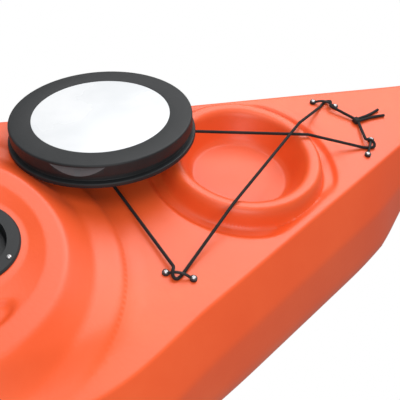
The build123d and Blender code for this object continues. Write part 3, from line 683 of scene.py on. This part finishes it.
    def deck_height(self, x: np.ndarray, y: np.ndarray) -> np.ndarray:
        """The deck's height over the keel line at each point."""
        clear = np.interp(x, self.rim_along, self.rim_width) - np.abs(y)
        ring = np.hypot(x - self.well_x, y)
        well = self.soften(self.well_profile, self.well_rub)
        mound = self.soften(sorted((r, h) for _, r, h in self.mound_rings), self.mound_rub)
        z = DECK + self.rise(x) + well(ring) * eased(clear / self.well_fade)
        z = z + mound(self.mound_level(x, y)) * eased(clear / self.mound_fade)
        px, py, pa, pb, deep = self.pocket
        c, s = self.pocket_turn
        dish = ((x - px) * c + (y - py) * s) ** 2 / pa ** 2 + ((y - py) * c - (x - px) * s) ** 2 / pb ** 2
        z = z - deep * logistic((1 - np.sqrt(dish)) * self.pocket_edge)
        radius, soft, drop, start, run = self.panel
        fade = np.clip((x - start) / run, 0, 1) * np.clip(clear / self.panel_fade, 0, 1)
        return z + drop * (logistic((ring - radius) / soft) - 1) * fade

    def egg(self, count: int) -> "tuple[np.ndarray, np.ndarray]":
        """The cockpit's outline.

        Args:
            count: the number of points.

        Returns:
            The points, and the outward normal at each.
        """
        (xr, rr), (xf, rf) = self.rear, self.front
        k = (rr - rf) / (xr - xf)
        lean = math.asin(-k)
        top = math.pi / 2 - lean
        side = int(count * 0.17)
        points: "list[tuple[float, float]]" = []
        normals: "list[tuple[float, float]]" = []

        def arc(x: float, radius: float, angles: np.ndarray) -> None:
            """Adds one end's arc."""
            for a in angles:
                points.append((x + radius * math.cos(a), radius * math.sin(a)))
                normals.append((math.cos(a), math.sin(a)))

        def straight(end: "tuple[float, float]", facing: float) -> None:
            """Adds the straight side that leads on to a point."""
            (ax, ay), (bx, by) = points[-1], end
            for s in np.linspace(0, 1, side + 2)[1:-1]:
                points.append((ax + (bx - ax) * s, ay + (by - ay) * s))
                normals.append((math.cos(facing), math.sin(facing)))

        arc(xr, rr, np.linspace(-top, top, int(count * 0.36)))
        straight((xf + rf * math.cos(top), rf * math.sin(top)), top)
        arc(xf, rf, np.linspace(top, 2 * math.pi - top, int(count * 0.30)))
        straight(points[0], -top)
        return np.array(points), np.array(normals)

    def station_xs(self) -> np.ndarray:
        """The x of every section, closer together at the tips."""
        mid = np.linspace(-1.50, 1.50, 151)
        tip = self.half_length - self.tip * (1 - np.sin(np.linspace(0, math.pi / 2, 7)))
        ends = np.concatenate([np.linspace(1.51, 1.56, 6), tip])
        return np.concatenate([-ends[::-1], mid, ends])

    def squeeze(self, x: float) -> float:
        """How much a section is narrowed to round off the tip."""
        over = (abs(x) - (self.half_length - self.tip)) / self.tip
        return math.sqrt(max(0.0, 1 - over * over)) if over > 0 else 1.0

    def stern_flare(self, x: float) -> float:
        """The share of the stern's flare at x, from 0 to 1."""
        end, run = self.flare_end
        up = min(1.0, max(0.0, x / self.flare_rise))
        down = min(1.0, max(0.0, (end - x) / run))
        return up * up * (3 - 2 * up) * down * down * (3 - 2 * down)

    def section(self, x: float) -> "list[tuple[float, float]]":
        """Half of one section, from the deck's rim down to the keel.

        Args:
            x: where along the boat.

        Returns:
            (y, z) points, always as many.
        """
        deck, keel, flat = float(self.half_width(x)), float(self.keel(x)), float(self.flat(x))
        top = DECK + float(self.rise(x))
        fade = min(1.0, deck / 0.110)
        flare = self.stern_flare(x)
        bevel = deck + min(self.bevel_out, 0.42 * deck)
        beam = deck + min(self.beam_out + self.flare_out * flare, (0.5 + 0.25 * flare) * deck)
        beam_z = max(top - (self.beam_drop + self.flare_drop * flare) * fade, keel + (top - keel) * 0.35)
        bevel_z = max(top - self.bevel_drop * fade, keel + (top - keel) * 0.65)
        chine, chine_z = flat + (beam - flat) * 0.72, keel + (beam_z - keel) * 0.34
        start = max(deck - self.edge, 0.5 * deck)
        corners = [(start, top), (deck, top), (bevel, bevel_z), (beam, beam_z), (chine, chine_z), (flat, keel),
                   (0, keel)]
        pts = rounded(corners, (0, .009, .010, .045, .075, .060, 0), (0, 7, 6, 8, 9, 8, 0))
        squeeze = self.squeeze(x)
        return [(y * squeeze, z) for y, z in pts]

    def sides(self) -> "tuple[list[Point], list[tuple[int, ...]], list[tuple[float, float]]]":
        """Both sides and the bottom.

        Returns:
            Points, faces, and the (x, y) of the rim that the deck joins.
        """
        verts: "list[Point]" = []
        faces: "list[tuple[int, ...]]" = []
        rim: "list[tuple[float, float]]" = []
        xs = self.station_xs()
        for sign in (1, -1):
            base = len(verts)
            rows = 0
            for x in xs:
                pts = self.section(float(x))
                rows = len(pts)
                verts += [(float(x), sign * y, z) for y, z in pts]
                if sign == 1:
                    rim.append((float(x), pts[0][0]))
            for i in range(len(xs) - 1):
                for j in range(rows - 1):
                    a = base + i * rows + j
                    face = (a, a + rows, a + rows + 1, a + 1)
                    faces.append(face if sign == -1 else face[::-1])
        return verts, faces, rim

    def filling(self) -> np.ndarray:
        """Points spread over the deck, closer together where it bends.

        Returns:
            Their x and y.
        """
        grown: "list[tuple[float, float]]" = []
        for n, r in enumerate([*np.linspace(0.02, 0.09, 5), *WELL_RADII]):
            count = 24 if r < 0.05 else 72 if r < 0.093 else 144
            for a in np.linspace(0, 2 * math.pi, count + 1)[:-1] + (n % 2) * math.pi / count:
                grown.append((self.well_x + r * math.cos(a), r * math.sin(a)))
        rings = sorted(self.mound_rings, key=lambda ring: ring[1])
        for n, r in enumerate([*np.linspace(0.080, 0.146, 15), *np.linspace(0.150, 0.338, 46)]):
            cx = float(np.interp(r, [g[1] for g in rings], [g[0] for g in rings]))
            for a in np.linspace(0, 2 * math.pi, 181)[:-1] + (n % 2) * math.pi / 180:
                grown.append((cx + r * math.cos(a), r * math.sin(a)))
        for n, x in enumerate(np.arange(-1.56, 1.56, 0.02)):
            for y in np.arange(-0.33, 0.331, 0.022) + (n % 2) * 0.011:
                if math.hypot(x - self.well_x, y) > 0.232 and math.hypot(x - 0.262, y) > 0.35:
                    grown.append((float(x), float(y)))
        pts = np.array(grown)

        def half(x: "float | np.ndarray") -> "float | np.ndarray":
            """The rim's half width at x."""
            return np.interp(x, self.rim_along, self.rim_width)

        pts = pts[np.abs(pts[:, 1]) < half(pts[:, 0]) - 0.0085]
        strip = [(x, side * (float(half(x)) - off))
                 for off in (.0045, .0075) for side in (1, -1)
                 for x in np.arange(-1.52, 1.52, 0.010) + (off - .0045) * 5 / 3
                 if half(x) > off + 0.006]
        strip += [(x, side * (float(half(x)) - off))
                  for off in (.013, .019, .026, .034) for side in (1, -1)
                  for x in np.arange(-1.5, 1.5, 0.012)
                  if math.hypot(x - self.well_x, half(x)) > 0.29 and half(x) > off + 0.012]
        return np.vstack([pts, np.array(strip)])

    def deck(self, rim: "list[tuple[float, float]]", mouth: np.ndarray) -> "tuple[list[Point], list[tuple[int, ...]]]":
        """The deck, triangulated between its rim and its openings.

        Args:
            rim: half of its outline.
            mouth: the outline round the cockpit.

        Returns:
            Points and faces.
        """
        flat: "list[tuple[float, float]]" = []
        loops: "list[list[int]]" = []
        self.rim_along, self.rim_width = (np.array([p[k] for p in rim]) for k in (0, 1))

        def loop(points: Iterable[Sequence[float]]) -> None:
            """Adds one closed outline."""
            start = len(flat)
            flat.extend((float(x), float(y)) for x, y in points)
            loops.append(list(range(start, len(flat))))

        loop(rim + [(x, -y) for x, y in rim[-2:0:-1]])
        loop(mouth)
        hx, hr = self.hatch_hole
        loop((hx + hr * math.cos(a), hr * math.sin(a)) for a in np.linspace(0, 2 * math.pi, 145)[:-1])
        rx, ry, ra, rb = self.rod_hole
        for sign in (1, -1):
            loop((rx + ra * math.cos(a), sign * ry + rb * math.sin(a)) for a in np.linspace(0, 2 * math.pi, 49)[:-1])
        holes = [np.array([flat[i] for i in ids]) for ids in loops[1:]]

        along, width = self.rim_along, self.rim_width
        pts = self.filling()
        keep = np.abs(pts[:, 1]) < np.interp(pts[:, 0], along, width) - 0.004
        for outline in holes:
            centre = outline.mean(axis=0)
            if len(outline) == len(mouth):
                keep &= ~self.inside(pts, outline, 0.006)
            else:
                reach = np.abs(outline - centre).max(axis=0) + 0.004
                keep &= (((pts - centre) / reach) ** 2).sum(axis=1) > 1
        flat.extend(map(tuple, pts[keep]))
        edges = [(ids[i], ids[(i + 1) % len(ids)]) for ids in loops for i in range(len(ids))]
        out, _, tris, *_ = delaunay_2d_cdt([Vector(p) for p in flat], edges, [], 0, 1e-7)
        xy = np.array([(v.x, v.y) for v in out])
        z = self.deck_height(xy[:, 0], xy[:, 1])
        middle = np.array([xy[list(t)].mean(axis=0) for t in tris])
        good = np.abs(middle[:, 1]) < np.interp(middle[:, 0], along, width)
        for outline in holes:
            good &= ~self.inside(middle, outline, 0.0)
        faces = []
        for t, ok in zip(tris, good):
            if ok:
                a, b, c = (xy[i] for i in t)
                turn = (b[0] - a[0]) * (c[1] - a[1]) - (b[1] - a[1]) * (c[0] - a[0])
                if abs(turn) < 1e-11:
                    continue
                faces.append(tuple(t) if turn > 0 else tuple(t)[::-1])
        return [(float(p[0]), float(p[1]), float(h)) for p, h in zip(xy, z)], faces

    @staticmethod
    def inside(points: np.ndarray, outline: np.ndarray, margin: float) -> np.ndarray:
        """Which points lie inside a convex outline grown by a margin."""
        nxt = np.roll(outline, -1, axis=0)
        edge = nxt - outline
        length = np.maximum(np.hypot(edge[:, 0], edge[:, 1]), 1e-9)
        cross = (edge[None, :, 0] * (points[:, None, 1] - outline[None, :, 1])
                 - edge[None, :, 1] * (points[:, None, 0] - outline[None, :, 0])) / length[None]
        area = (outline[:, 0] * nxt[:, 1] - outline[:, 1] * nxt[:, 0]).sum()
        return (cross * np.sign(area) > -margin).all(axis=1)

    def coaming(self, outline: np.ndarray, normals: np.ndarray) -> "tuple[list[Point], list[tuple[int, ...]]]":
        """The raised rim round the cockpit, from the deck over its lip and down inside."""
        profile = rounded([(.030, 0), (.020, 0), (.020, .0185), (.034, .0185), (.034, .028), (.0, .028), (.0, -.014)],
                          (0, .006, .003, .0035, .004, .007, 0), (0, 5, 4, 5, 5, 6, 0))
        verts: "list[Point]" = []
        for (x, y), (nx, ny) in zip(outline, normals):
            verts += [(x + nx * o, y + ny * o, DECK + h) for o, h in profile]
        rows, count = len(profile), len(outline)
        faces = []
        for k in range(count):
            n = (k + 1) % count
            for j in range(rows - 1):
                faces.append((k * rows + j, k * rows + j + 1, n * rows + j + 1, n * rows + j))
        return verts, faces

    def build(self, finish: bpy.types.Material) -> bpy.types.Object:
        """Builds the skin and gives it its thickness.

        Args:
            finish: its material.

        Returns:
            The hull.
        """
        verts, faces, rim = self.sides()
        outline, normals = self.egg(200)
        mouth = outline + normals * 0.030
        for more_verts, more_faces in (self.deck(rim, mouth), self.coaming(outline, normals)):
            base = len(verts)
            verts = verts + more_verts
            faces = faces + [tuple(i + base for i in f) for f in more_faces]
        piece = tidy(mesh_object("hull_skin", verts, faces), 0.0003)
        wall = piece.modifiers.new("wall", "SOLIDIFY")
        wall.thickness, wall.offset = self.wall, -1.0
        bake(piece)
        piece.data.shade_smooth()
        crease_by_angle(piece, 50)
        piece.data.materials.clear()
        piece.data.materials.append(finish)
        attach(piece, "hull")
        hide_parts("hull")
        LOG.info("hull skin, %d faces", len(piece.data.polygons))
        return piece


# ------------------------------------------------------------------ nodes and placing

def islands(name: str) -> "list[np.ndarray]":
    """The points of each separate solid in a CAD node.

    Args:
        name: the node.

    Returns:
        One array of points for each solid.
    """
    node = frame["nodes"][name]
    points = [node.matrix_world @ v.co for v in node.data.vertices]
    first: "dict[tuple[float, ...], int]" = {}
    group = [first.setdefault(tuple(round(c, 5) for c in p), i) for i, p in enumerate(points)]

    def root(i: int) -> int:
        """The first point of the solid that a point belongs to."""
        while group[i] != i:
            group[i] = group[group[i]]
            i = group[i]
        return i

    for edge in node.data.edges:
        group[root(edge.vertices[0])] = root(edge.vertices[1])
    found: "dict[int, list[Vector]]" = {}
    for i, point in enumerate(points):
        found.setdefault(root(i), []).append(point)
    return [np.array(p) for p in found.values()]


def placed(piece: bpy.types.Object, matrix: Matrix) -> bpy.types.Object:
    """Moves a piece's mesh, so that the object itself stays at the origin."""
    piece.data.transform(matrix)
    piece.data.update()
    return piece


def carved(piece: bpy.types.Object, cutter: bpy.types.Object) -> bpy.types.Object:
    """Cuts one closed piece with another and removes the cutter.

    Args:
        piece: the piece.
        cutter: the closed piece that is taken away.

    Returns:
        The cut piece.
    """
    cut = piece.modifiers.new("cut", "BOOLEAN")
    cut.operation, cut.solver, cut.object = "DIFFERENCE", "EXACT", cutter
    bake(piece)
    bpy.data.objects.remove(cutter)
    return piece


def hand_over(piece: bpy.types.Object, body: str, slot: str, finish: bpy.types.Material,
              *nodes: str) -> bpy.types.Object:
    """Dresses a finished piece and gives it to its body.

    Args:
        piece: the piece.
        body: the body that it rides.
        slot: the name of its material slot; not used.
        finish: its material.
        nodes: the CAD nodes that it replaces.

    Returns:
        The piece.
    """
    piece.data.materials.clear()
    piece.data.materials.append(finish)
    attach(piece, body)
    if nodes:
        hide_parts(*nodes)
    LOG.info("%s on %s", piece.name, body)
    return piece


# ------------------------------------------------------------------ screws

class Drive(Enum):
    """The recess in a screw's head."""
    CROSS = "cross"
    HEX = "hex"


@dataclass
class ScrewField:
    """The screws of one CAD node, set out by geometry nodes."""
    node: str
    body: str = "hull"
    radius: float = 0.0042
    height: float = 0.0026
    drive: Drive = Drive.CROSS
    seed: int = 3

    def head(self) -> bpy.types.Object:
        """One pan head with its recess and a short shank."""
        r, h, neck, foot = self.radius, self.height, self.radius * 0.48, -0.003
        profile = rounded([(0, h), (r * 0.62, h), (r, h * 0.55), (r, 0), (neck, 0), (neck, foot), (0, foot)],
                          (0, r * 0.3, h * 0.3, 0.0001, 0.0001, 0.0002, 0), (0, 5, 4, 2, 2, 2, 0))
        piece = turned("head", profile, 40, False)
        if self.drive is Drive.HEX:
            return carved(piece, self.bar(r * 0.95, r * 0.95, 6))
        slot = (r * 1.15, r * 0.26, 4)
        carved(piece, self.bar(*slot))
        return carved(piece, placed(self.bar(*slot), Matrix.Rotation(math.pi / 2, 4, "Z")))

    def bar(self, length: float, width: float, sides: int) -> bpy.types.Object:
        """The prism that cuts a recess."""
        if sides == 4:
            ring = [(a * length / 2, b * width / 2) for a, b in ((-1, -1), (1, -1), (1, 1), (-1, 1))]
        else:
            angles = [k * math.pi / 3 for k in range(6)]
            ring = [(length / 2 * math.cos(a), width / 2 * math.sin(a)) for a in angles]
        low, high = self.height * 0.35, self.height * 2
        verts = [(x, y, z) for z in (low, high) for x, y in ring]
        faces = [tuple(range(sides))[::-1], tuple(range(sides, 2 * sides))]
        faces += [(k, (k + 1) % sides, sides + (k + 1) % sides, sides + k) for k in range(sides)]
        return mesh_object("recess", verts, faces, False)

    def build(self, finish: bpy.types.Material, slot: str = "steel") -> bpy.types.Object:
        """Sets a head on each of the node's screws, each turned at random.

        Args:
            finish: the screws' material.
            slot: their material slot.

        Returns:
            The screws, as one piece.
        """
        spots = [(*((p[:, k].min() + p[:, k].max()) / 2 for k in (0, 1)), p[:, 2].max() - self.height)
                 for p in islands(self.node)]
        piece = mesh_object(self.node + "_heads", spots, [], False)
        head = self.head()
        tree = bpy.data.node_groups.new("screw_field", "GeometryNodeTree")
        face = tree.interface
        face.new_socket("Geometry", in_out="INPUT", socket_type="NodeSocketGeometry")
        sockets = {name: face.new_socket(name, in_out="INPUT", socket_type=kind) for name, kind in
                   (("Head", "NodeSocketObject"), ("Seed", "NodeSocketInt"), ("Finish", "NodeSocketMaterial"))}
        face.new_socket("Geometry", in_out="OUTPUT", socket_type="NodeSocketGeometry")
        make = tree.nodes.new
        given, out = make("NodeGroupInput"), make("NodeGroupOutput")
        info, spin, turn, spread, real, dress = (make(kind) for kind in (
            "GeometryNodeObjectInfo", "FunctionNodeRandomValue", "ShaderNodeCombineXYZ",
            "GeometryNodeInstanceOnPoints", "GeometryNodeRealizeInstances", "GeometryNodeSetMaterial"))
        spin.data_type = "FLOAT"
        spin.inputs[3].default_value = math.pi
        for a, b in ((given.outputs["Geometry"], spread.inputs["Points"]),
                     (given.outputs["Head"], info.inputs["Object"]),
                     (info.outputs["Geometry"], spread.inputs["Instance"]),
                     (given.outputs["Seed"], spin.inputs["Seed"]),
                     (spin.outputs[1], turn.inputs["Z"]), (turn.outputs[0], spread.inputs["Rotation"]),
                     (spread.outputs["Instances"], real.inputs[0]), (real.outputs[0], dress.inputs["Geometry"]),
                     (given.outputs["Finish"], dress.inputs["Material"]), (dress.outputs[0], out.inputs[0])):
            tree.links.new(a, b)
        field_of = piece.modifiers.new("screws", "NODES")
        field_of.node_group = tree
        field_of[sockets["Head"].identifier] = head
        field_of[sockets["Seed"].identifier] = self.seed
        field_of[sockets["Finish"].identifier] = finish
        bake(piece)
        bpy.data.objects.remove(head)
        piece.data.shade_smooth()
        crease_by_angle(piece, 40)
        return hand_over(piece, self.body, slot, finish, self.node)


# ------------------------------------------------------------------ lid

@dataclass
class Lid:
    """The round lid: cap with its finger scoop, skirt ring with its groove and flange, liner and disc."""
    radius: float = 0.176
    wall: float = 0.018
    height: float = 0.024
    plate: float = 0.005
    disc: float = 0.1327
    sink: float = 0.002
    groove: float = 0.170
    skirt: float = 0.181
    skirt_height: float = 0.021
    flange: float = 0.009
    scoop_angle: float = 229.0
    scoop_half: float = 0.295
    scoop_drop: float = 0.0185
    scoop_depth: float = 0.012
    scoop_reach: float = 0.004
    lip: float = 0.0045
    crease: float = 38.0
    rest: Point = (0.663, 0.171, 0.385)
    normal: Point = (-0.033, 0.2, 0.979)

    def place(self) -> Matrix:
        """The lid's own frame as it lies on the deck."""
        up = Vector(self.normal).normalized()
        ahead = Vector((1.0, 0.0, -self.normal[0] / self.normal[2])).normalized()
        return Matrix.Translation(self.rest) @ Matrix((ahead, up.cross(ahead), up)).transposed().to_4x4()

    def scoop(self) -> bpy.types.Object:
        """The wedge that cuts the finger scoop."""
        verts: "list[Point]" = []
        count = 49
        slope = self.scoop_drop / self.scoop_depth
        for k in range(count):
            u = -1 + 2 * k / (count - 1)
            a = math.radians(self.scoop_angle) + u * self.scoop_half
            depth = self.scoop_depth * (1 - u * u) - 0.0002
            out = self.radius + self.scoop_reach
            for r, z in ((self.radius - depth, -self.lip), (out, -self.lip - slope * (depth + self.scoop_reach)),
                         (out, -self.lip)):
                verts.append((r * math.cos(a), r * math.sin(a), z))
        faces = [(0, 1, 2), (3 * count - 1, 3 * count - 2, 3 * count - 3)]
        for k in range(count - 1):
            for j in range(3):
                m = (j + 1) % 3
                faces.append((3 * k + j, 3 * k + 3 + j, 3 * k + 3 + m, 3 * k + m))
        return tidy(mesh_object("scoop", verts, faces), 0.000001)

    def build(self, black: bpy.types.Material, white: bpy.types.Material, soft: bpy.types.Material,
              dust_and_painted_light: bpy.types.Material) -> None:
        """Builds the four pieces.

        Args:
            black: the cap's and skirt's material.
            white: the disc's.
            soft: the liner's.
            dust_and_painted_light: the finger scoop's lighter grey plastic, painted light for the light that its
                upturned floor catches from above.
        """
        r, inner, top = self.radius, self.radius - self.wall, -self.height
        under, low = -self.sink - self.plate, -self.height - self.skirt_height
        cap = turned("lid_cap_moulding", rounded(
            [(0, under), (inner, under), (inner, top), (r, top), (r, 0), (self.disc + 0.0005, 0),
             (self.disc + 0.0005, -self.sink), (0, -self.sink)],
            (0, .002, .001, .0016, .0042, .0006, .0004, 0), (0, 4, 3, 5, 9, 4, 3, 0)), 256, False)
        cutter = self.scoop()
        for face in cutter.data.polygons:
            face.material_index = 1
        for part in (cap, cutter):
            for finish in (black, dust_and_painted_light):
                part.data.materials.append(finish)
        carved(cap, cutter)
        # The scoop's faces take the lighter grey, painted light for the light that its upturned floor catches.
        painted_light_faces = [face.index for face in cap.data.polygons if face.material_index == 1]
        skirt = turned("lid_skirt_ring", rounded(
            [(inner + .004, top), (self.groove, top), (self.groove, low + self.flange), (self.skirt, low + self.flange),
             (self.skirt, low), (inner + .008, low), (inner + .008, low + .006), (inner + .004, low + .008)],
            (0, .0005, .0015, .0032, .002, .001, .001, 0), (0, 3, 5, 8, 6, 3, 3, 0)), 256)
        liner = turned("lid_seal_ring", rounded(
            [(self.wall + .112, under), (inner - .0003, under), (inner - .0003, under - .003), (.130, under - .003),
             (.130, under)], (0, .0004, .0008, .0008, 0), (0, 3, 4, 4, 0)), 192)
        face = turned("lid_face_disc", rounded(
            [(0, -.0005), (self.disc, -.0005), (self.disc, -self.sink), (0, -self.sink)],
            (0, .0005, .0003, 0), (0, 4, 3, 0)), 256, False)
        place = self.place()
        for piece, node, slot, finish in (
                (cap, "lid_cap", "black_plastic", black), (skirt, "lid_skirt", "black_plastic", black),
                (liner, "lid_liner", "rubber", soft), (face, "lid_disc", "white_disc", white)):
            crease_by_angle(placed(piece, place), self.crease)
            hand_over(piece, "lid", slot, finish, node)
            if piece is cap:
                cap.data.materials.append(dust_and_painted_light)
                for index in painted_light_faces:
                    cap.data.polygons[index].material_index = 1


# ------------------------------------------------------------------ shock cord

ROUTE_POINTS: "list[Point]" = [
    (1.192, 0.0075, 0.3155), (1.1663, 0.06013, 0.3196), (1.17366, 0.0683, 0.3233), (1.1782, 0.07633, 0.317),
    (1.17292, 0.08242, 0.3133), (1.16177, 0.07901, 0.3133), (1.15077, 0.07277, 0.3133), (1.03915, 0.01591, 0.351),
    (0.79103, -0.11048, 0.3446), (0.64323, -0.18577, 0.3133), (0.63223, -0.19201, 0.3133),
    (0.62108, -0.19542, 0.3133), (0.6158, -0.18933, 0.317), (0.62034, -0.1813, 0.3233), (0.6277, -0.17313, 0.3196),
    (0.6277, 0.17313, 0.3196), (0.62034, 0.1813, 0.3233), (0.6158, 0.18933, 0.317), (0.62108, 0.19542, 0.3133),
    (0.63223, 0.19201, 0.3133), (0.64323, 0.18577, 0.3133), (0.79103, 0.11048, 0.3446), (1.03915, -0.01591, 0.3446),
    (1.15077, -0.07277, 0.3133), (1.16177, -0.07901, 0.3133), (1.17292, -0.08242, 0.3133), (1.1782, -0.07633, 0.317),
    (1.17366, -0.0683, 0.3233), (1.1663, -0.06013, 0.3196), (1.192, -0.0075, 0.3155),
]
TAIL_POINTS: "list[list[Point]]" = [
    [(1.1985, side * 0.0032, 0.3155), (1.2105, side * 0.0034, 0.3152), (1.2282, side * 0.0038, 0.3144),
     (1.2513, side * 0.0075, 0.3136), (1.2645, side * 0.0105, 0.3134)]
    for side in (-1, 1)
]


@dataclass
class Rigging:
    """The shock cord laced through the four deck eyes and over the well's rim."""
    diameter: float = 0.006
    route: "list[Point]" = field(default_factory=lambda: ROUTE_POINTS)
    tails: "list[list[Point]]" = field(default_factory=lambda: TAIL_POINTS)

    def strand(self, name: str, points: "list[Point]") -> bpy.types.Object:
        """One round cord through its points.

        Args:
            name: its name.
            points: the control points, in metres.

        Returns:
            The curve.
        """
        data = bpy.data.curves.new(name, "CURVE")
        data.dimensions, data.bevel_depth, data.bevel_resolution = "3D", 1.0, 5
        data.resolution_u, data.use_fill_caps = 10, True
        line = data.splines.new("NURBS")
        line.points.add(len(points) - 1)
        for point, place in zip(line.points, points):
            point.co = (*place, 1.0)
            point.radius = self.diameter / 2
        line.order_u, line.use_endpoint_u = 3, True
        piece = bpy.data.objects.new(name, data)
        bpy.context.scene.collection.objects.link(piece)
        return piece

    @staticmethod
    def guided(points: "list[Point]", near: float) -> "list[Point]":
        """Adds guide points on the straight legs beside each corner."""
        out: "list[Point]" = [points[0]]
        for a, b in zip(points, points[1:]):
            va, vb = Vector(a), Vector(b)
            length = (vb - va).length
            if length > 4 * near:
                out += [tuple(va.lerp(vb, near / length)), tuple(va.lerp(vb, 0.5)), tuple(vb.lerp(va, near / length))]
            out.append(b)
        return out

    @staticmethod
    def length(piece: bpy.types.Object) -> float:
        """The real length of a cord's centreline."""
        graph = bpy.context.evaluated_depsgraph_get()
        depth, piece.data.bevel_depth = piece.data.bevel_depth, 0.0
        graph.update()
        mesh = bpy.data.meshes.new_from_object(piece.evaluated_get(graph))
        total = sum((mesh.vertices[e.vertices[0]].co - mesh.vertices[e.vertices[1]].co).length for e in mesh.edges)
        piece.data.bevel_depth = depth
        graph.update()
        return total

    def build(self, finish: bpy.types.Material) -> None:
        """Builds the cord and its two tails."""
        main_cord = self.strand("shock_cord_run", self.guided(self.route, 0.006))
        hand_over(main_cord, "hull", "cord", finish, "shock_cord")
        size = self.length(main_cord)
        LOG.info("shock cord, %.3f m", size)
        ends = [self.strand("shock_cord_tail_%d" % k, points) for k, points in enumerate(self.tails)]
        for k, end in enumerate(ends):
            hand_over(end, "hull", "cord", finish, *(("shock_cord_tails",) if k == 0 else ()))
            self.length(end)


# ------------------------------------------------------------------ seat pads

class Crown(Enum):
    """Which face of a pad is crowned."""
    TOP = "top"
    FRONT = "front"


@dataclass
class Pad:
    """A padded cushion with a seam round its edge and sewn channels, made over its CAD solid."""
    node: str
    body: str
    crown: Crown
    channels: int = 3
    rows: int = 40
    corner: float = 0.30
    edge_power: int = 5
    edge_round: float = 0.36
    channel_width: float = 0.035
    channel_depth: float = 0.30
    back: float = 0.82
    inset: float = 0.985

    def shape(self) -> "tuple[np.ndarray, np.ndarray, np.ndarray, np.ndarray, float, float, float]":
        """The pad's own axes and half sizes, from its solid."""
        node = frame["nodes"][self.node]
        points = np.array([node.matrix_world @ v.co for v in node.data.vertices])
        middle = (points.max(axis=0) + points.min(axis=0)) / 2
        spread = np.linalg.svd(points - points.mean(axis=0), full_matrices=False)[2]
        across = np.array([0.0, 1.0, 0.0])
        rest = [axis for axis in spread if abs(axis[1]) < 0.5]
        up_first = 2 if self.crown is Crown.TOP else 0
        thin = max(rest, key=lambda axis: abs(axis[up_first]))
        thin = thin * np.sign(thin[up_first]) * (1 if self.crown is Crown.TOP else -1)
        along = np.cross(across, thin)
        local = points - middle
        halves = [float(np.abs(local @ axis).max()) for axis in (along, across, thin)]
        offset = sum((((local @ axis).max() + (local @ axis).min()) / 2) * axis for axis in (along, across, thin))
        return middle + offset, along, across, thin, *halves

    def build(self, finish: bpy.types.Material) -> bpy.types.Object:
        """Builds the pad.

        Args:
            finish: its cloth.

        Returns:
            The pad.
        """
        centre, along, across, thin, hu, hv, hw = self.shape()
        n, count = self.rows, 2 * self.rows + 1
        verts: "list[Point]" = []
        for side in (1, -1):
            for i in range(count):
                for j in range(count):
                    u, v = -1 + i / n, -1 + j / n
                    pu = u * math.sqrt(1 - self.corner * v * v * u * u)
                    pv = v * math.sqrt(1 - self.corner * u * u * v * v)
                    edge_u, edge_v = (max(0.0, 1 - abs(t) ** self.edge_power) for t in (u, v))
                    rim = (edge_u * edge_v) ** self.edge_round
                    sewn = 0.0
                    for k in range(1, self.channels + 1):
                        line = -1 + 2 * k / (self.channels + 1)
                        sewn += math.exp(-((u - line) / self.channel_width) ** 2)
                    puff = 1.0 - self.channel_depth * sewn * rim - 0.10 * (u * u + v * v) / 2
                    high = (hw * 0.96) * rim * (puff if side == 1 else self.back)
                    place = (centre + along * (pu * hu * self.inset) + across * (pv * hv * self.inset)
                             + thin * (side * high))
                    verts.append(tuple(place))
        faces = []
        for s, start in enumerate((0, count * count)):
            for i in range(count - 1):
                for j in range(count - 1):
                    a = start + i * count + j
                    quad = (a, a + count, a + count + 1, a + 1)
                    faces.append(quad if s == 0 else quad[::-1])
        piece = tidy(mesh_object(self.node + "_cushion", verts, faces), 0.0002)
        hand_over(piece, self.body, "seat_cloth", finish, self.node)
        return piece


# ------------------------------------------------------------------ assembly

FINISH_OF = {
    "black_plastic": BlackNylon(), "steel": Stainless(),
    "cord": SoftRubber("cord_plain", (0.002, 0.002, 0.0022)), "rubber": SoftRubber(),
    "foam": SoftRubber("seat_foam", (0.09, 0.09, 0.095), 260.0), "seat_cloth": SeatCloth(), "white_disc": WhiteSheet(),
    "alloy": Anodised(), "hull_plastic": MouldedPolythene(),
}


def dress_nodes(finishes: "dict[str, bpy.types.Material]") -> None:
    """Gives every CAD node the finish of its material slot."""
    for entry in frame["record"]["subparts"]:
        node = frame["nodes"][entry["node"]]
        node.data.materials.clear()
        node.data.materials.append(finishes[entry["material_slot"]])
        LOG.info("dressed %s", entry["node"])


def main() -> None:
    """Builds the boat and its studio."""
    Studio().build()
    finishes = {slot: finish.material() for slot, finish in FINISH_OF.items()}
    dress_nodes(finishes)
    Hull().build(finishes["hull_plastic"])
    black, steel = finishes["black_plastic"], finishes["steel"]
    # The finger scoop's finish: a grey much lighter than the black cap, painted light for the light that the scoop's
    # upturned floor catches from above.
    dust_and_painted_light = BlackNylon("scoop_painted_highlight", (0.095, 0.098, 0.105), (0.13, 0.134, 0.14), 0.34).material()
    Lid().build(black, finishes["white_disc"], finishes["rubber"], dust_and_painted_light)
    Rigging().build(finishes["cord"])
    for pad in (Pad("seat_pad", "hull", Crown.TOP, 3), Pad("backrest_pad", "backrest", Crown.FRONT, 4)):
        pad.build(finishes["seat_cloth"])
    for screws_of in (ScrewField("hatch_collar_screws", seed=5), ScrewField("deck_eye_screws", seed=9),
                      ScrewField("swivel_base_screws", drive=Drive.HEX, seed=2)):
        screws_of.build(steel)


if __name__ == "__main__":
    main()
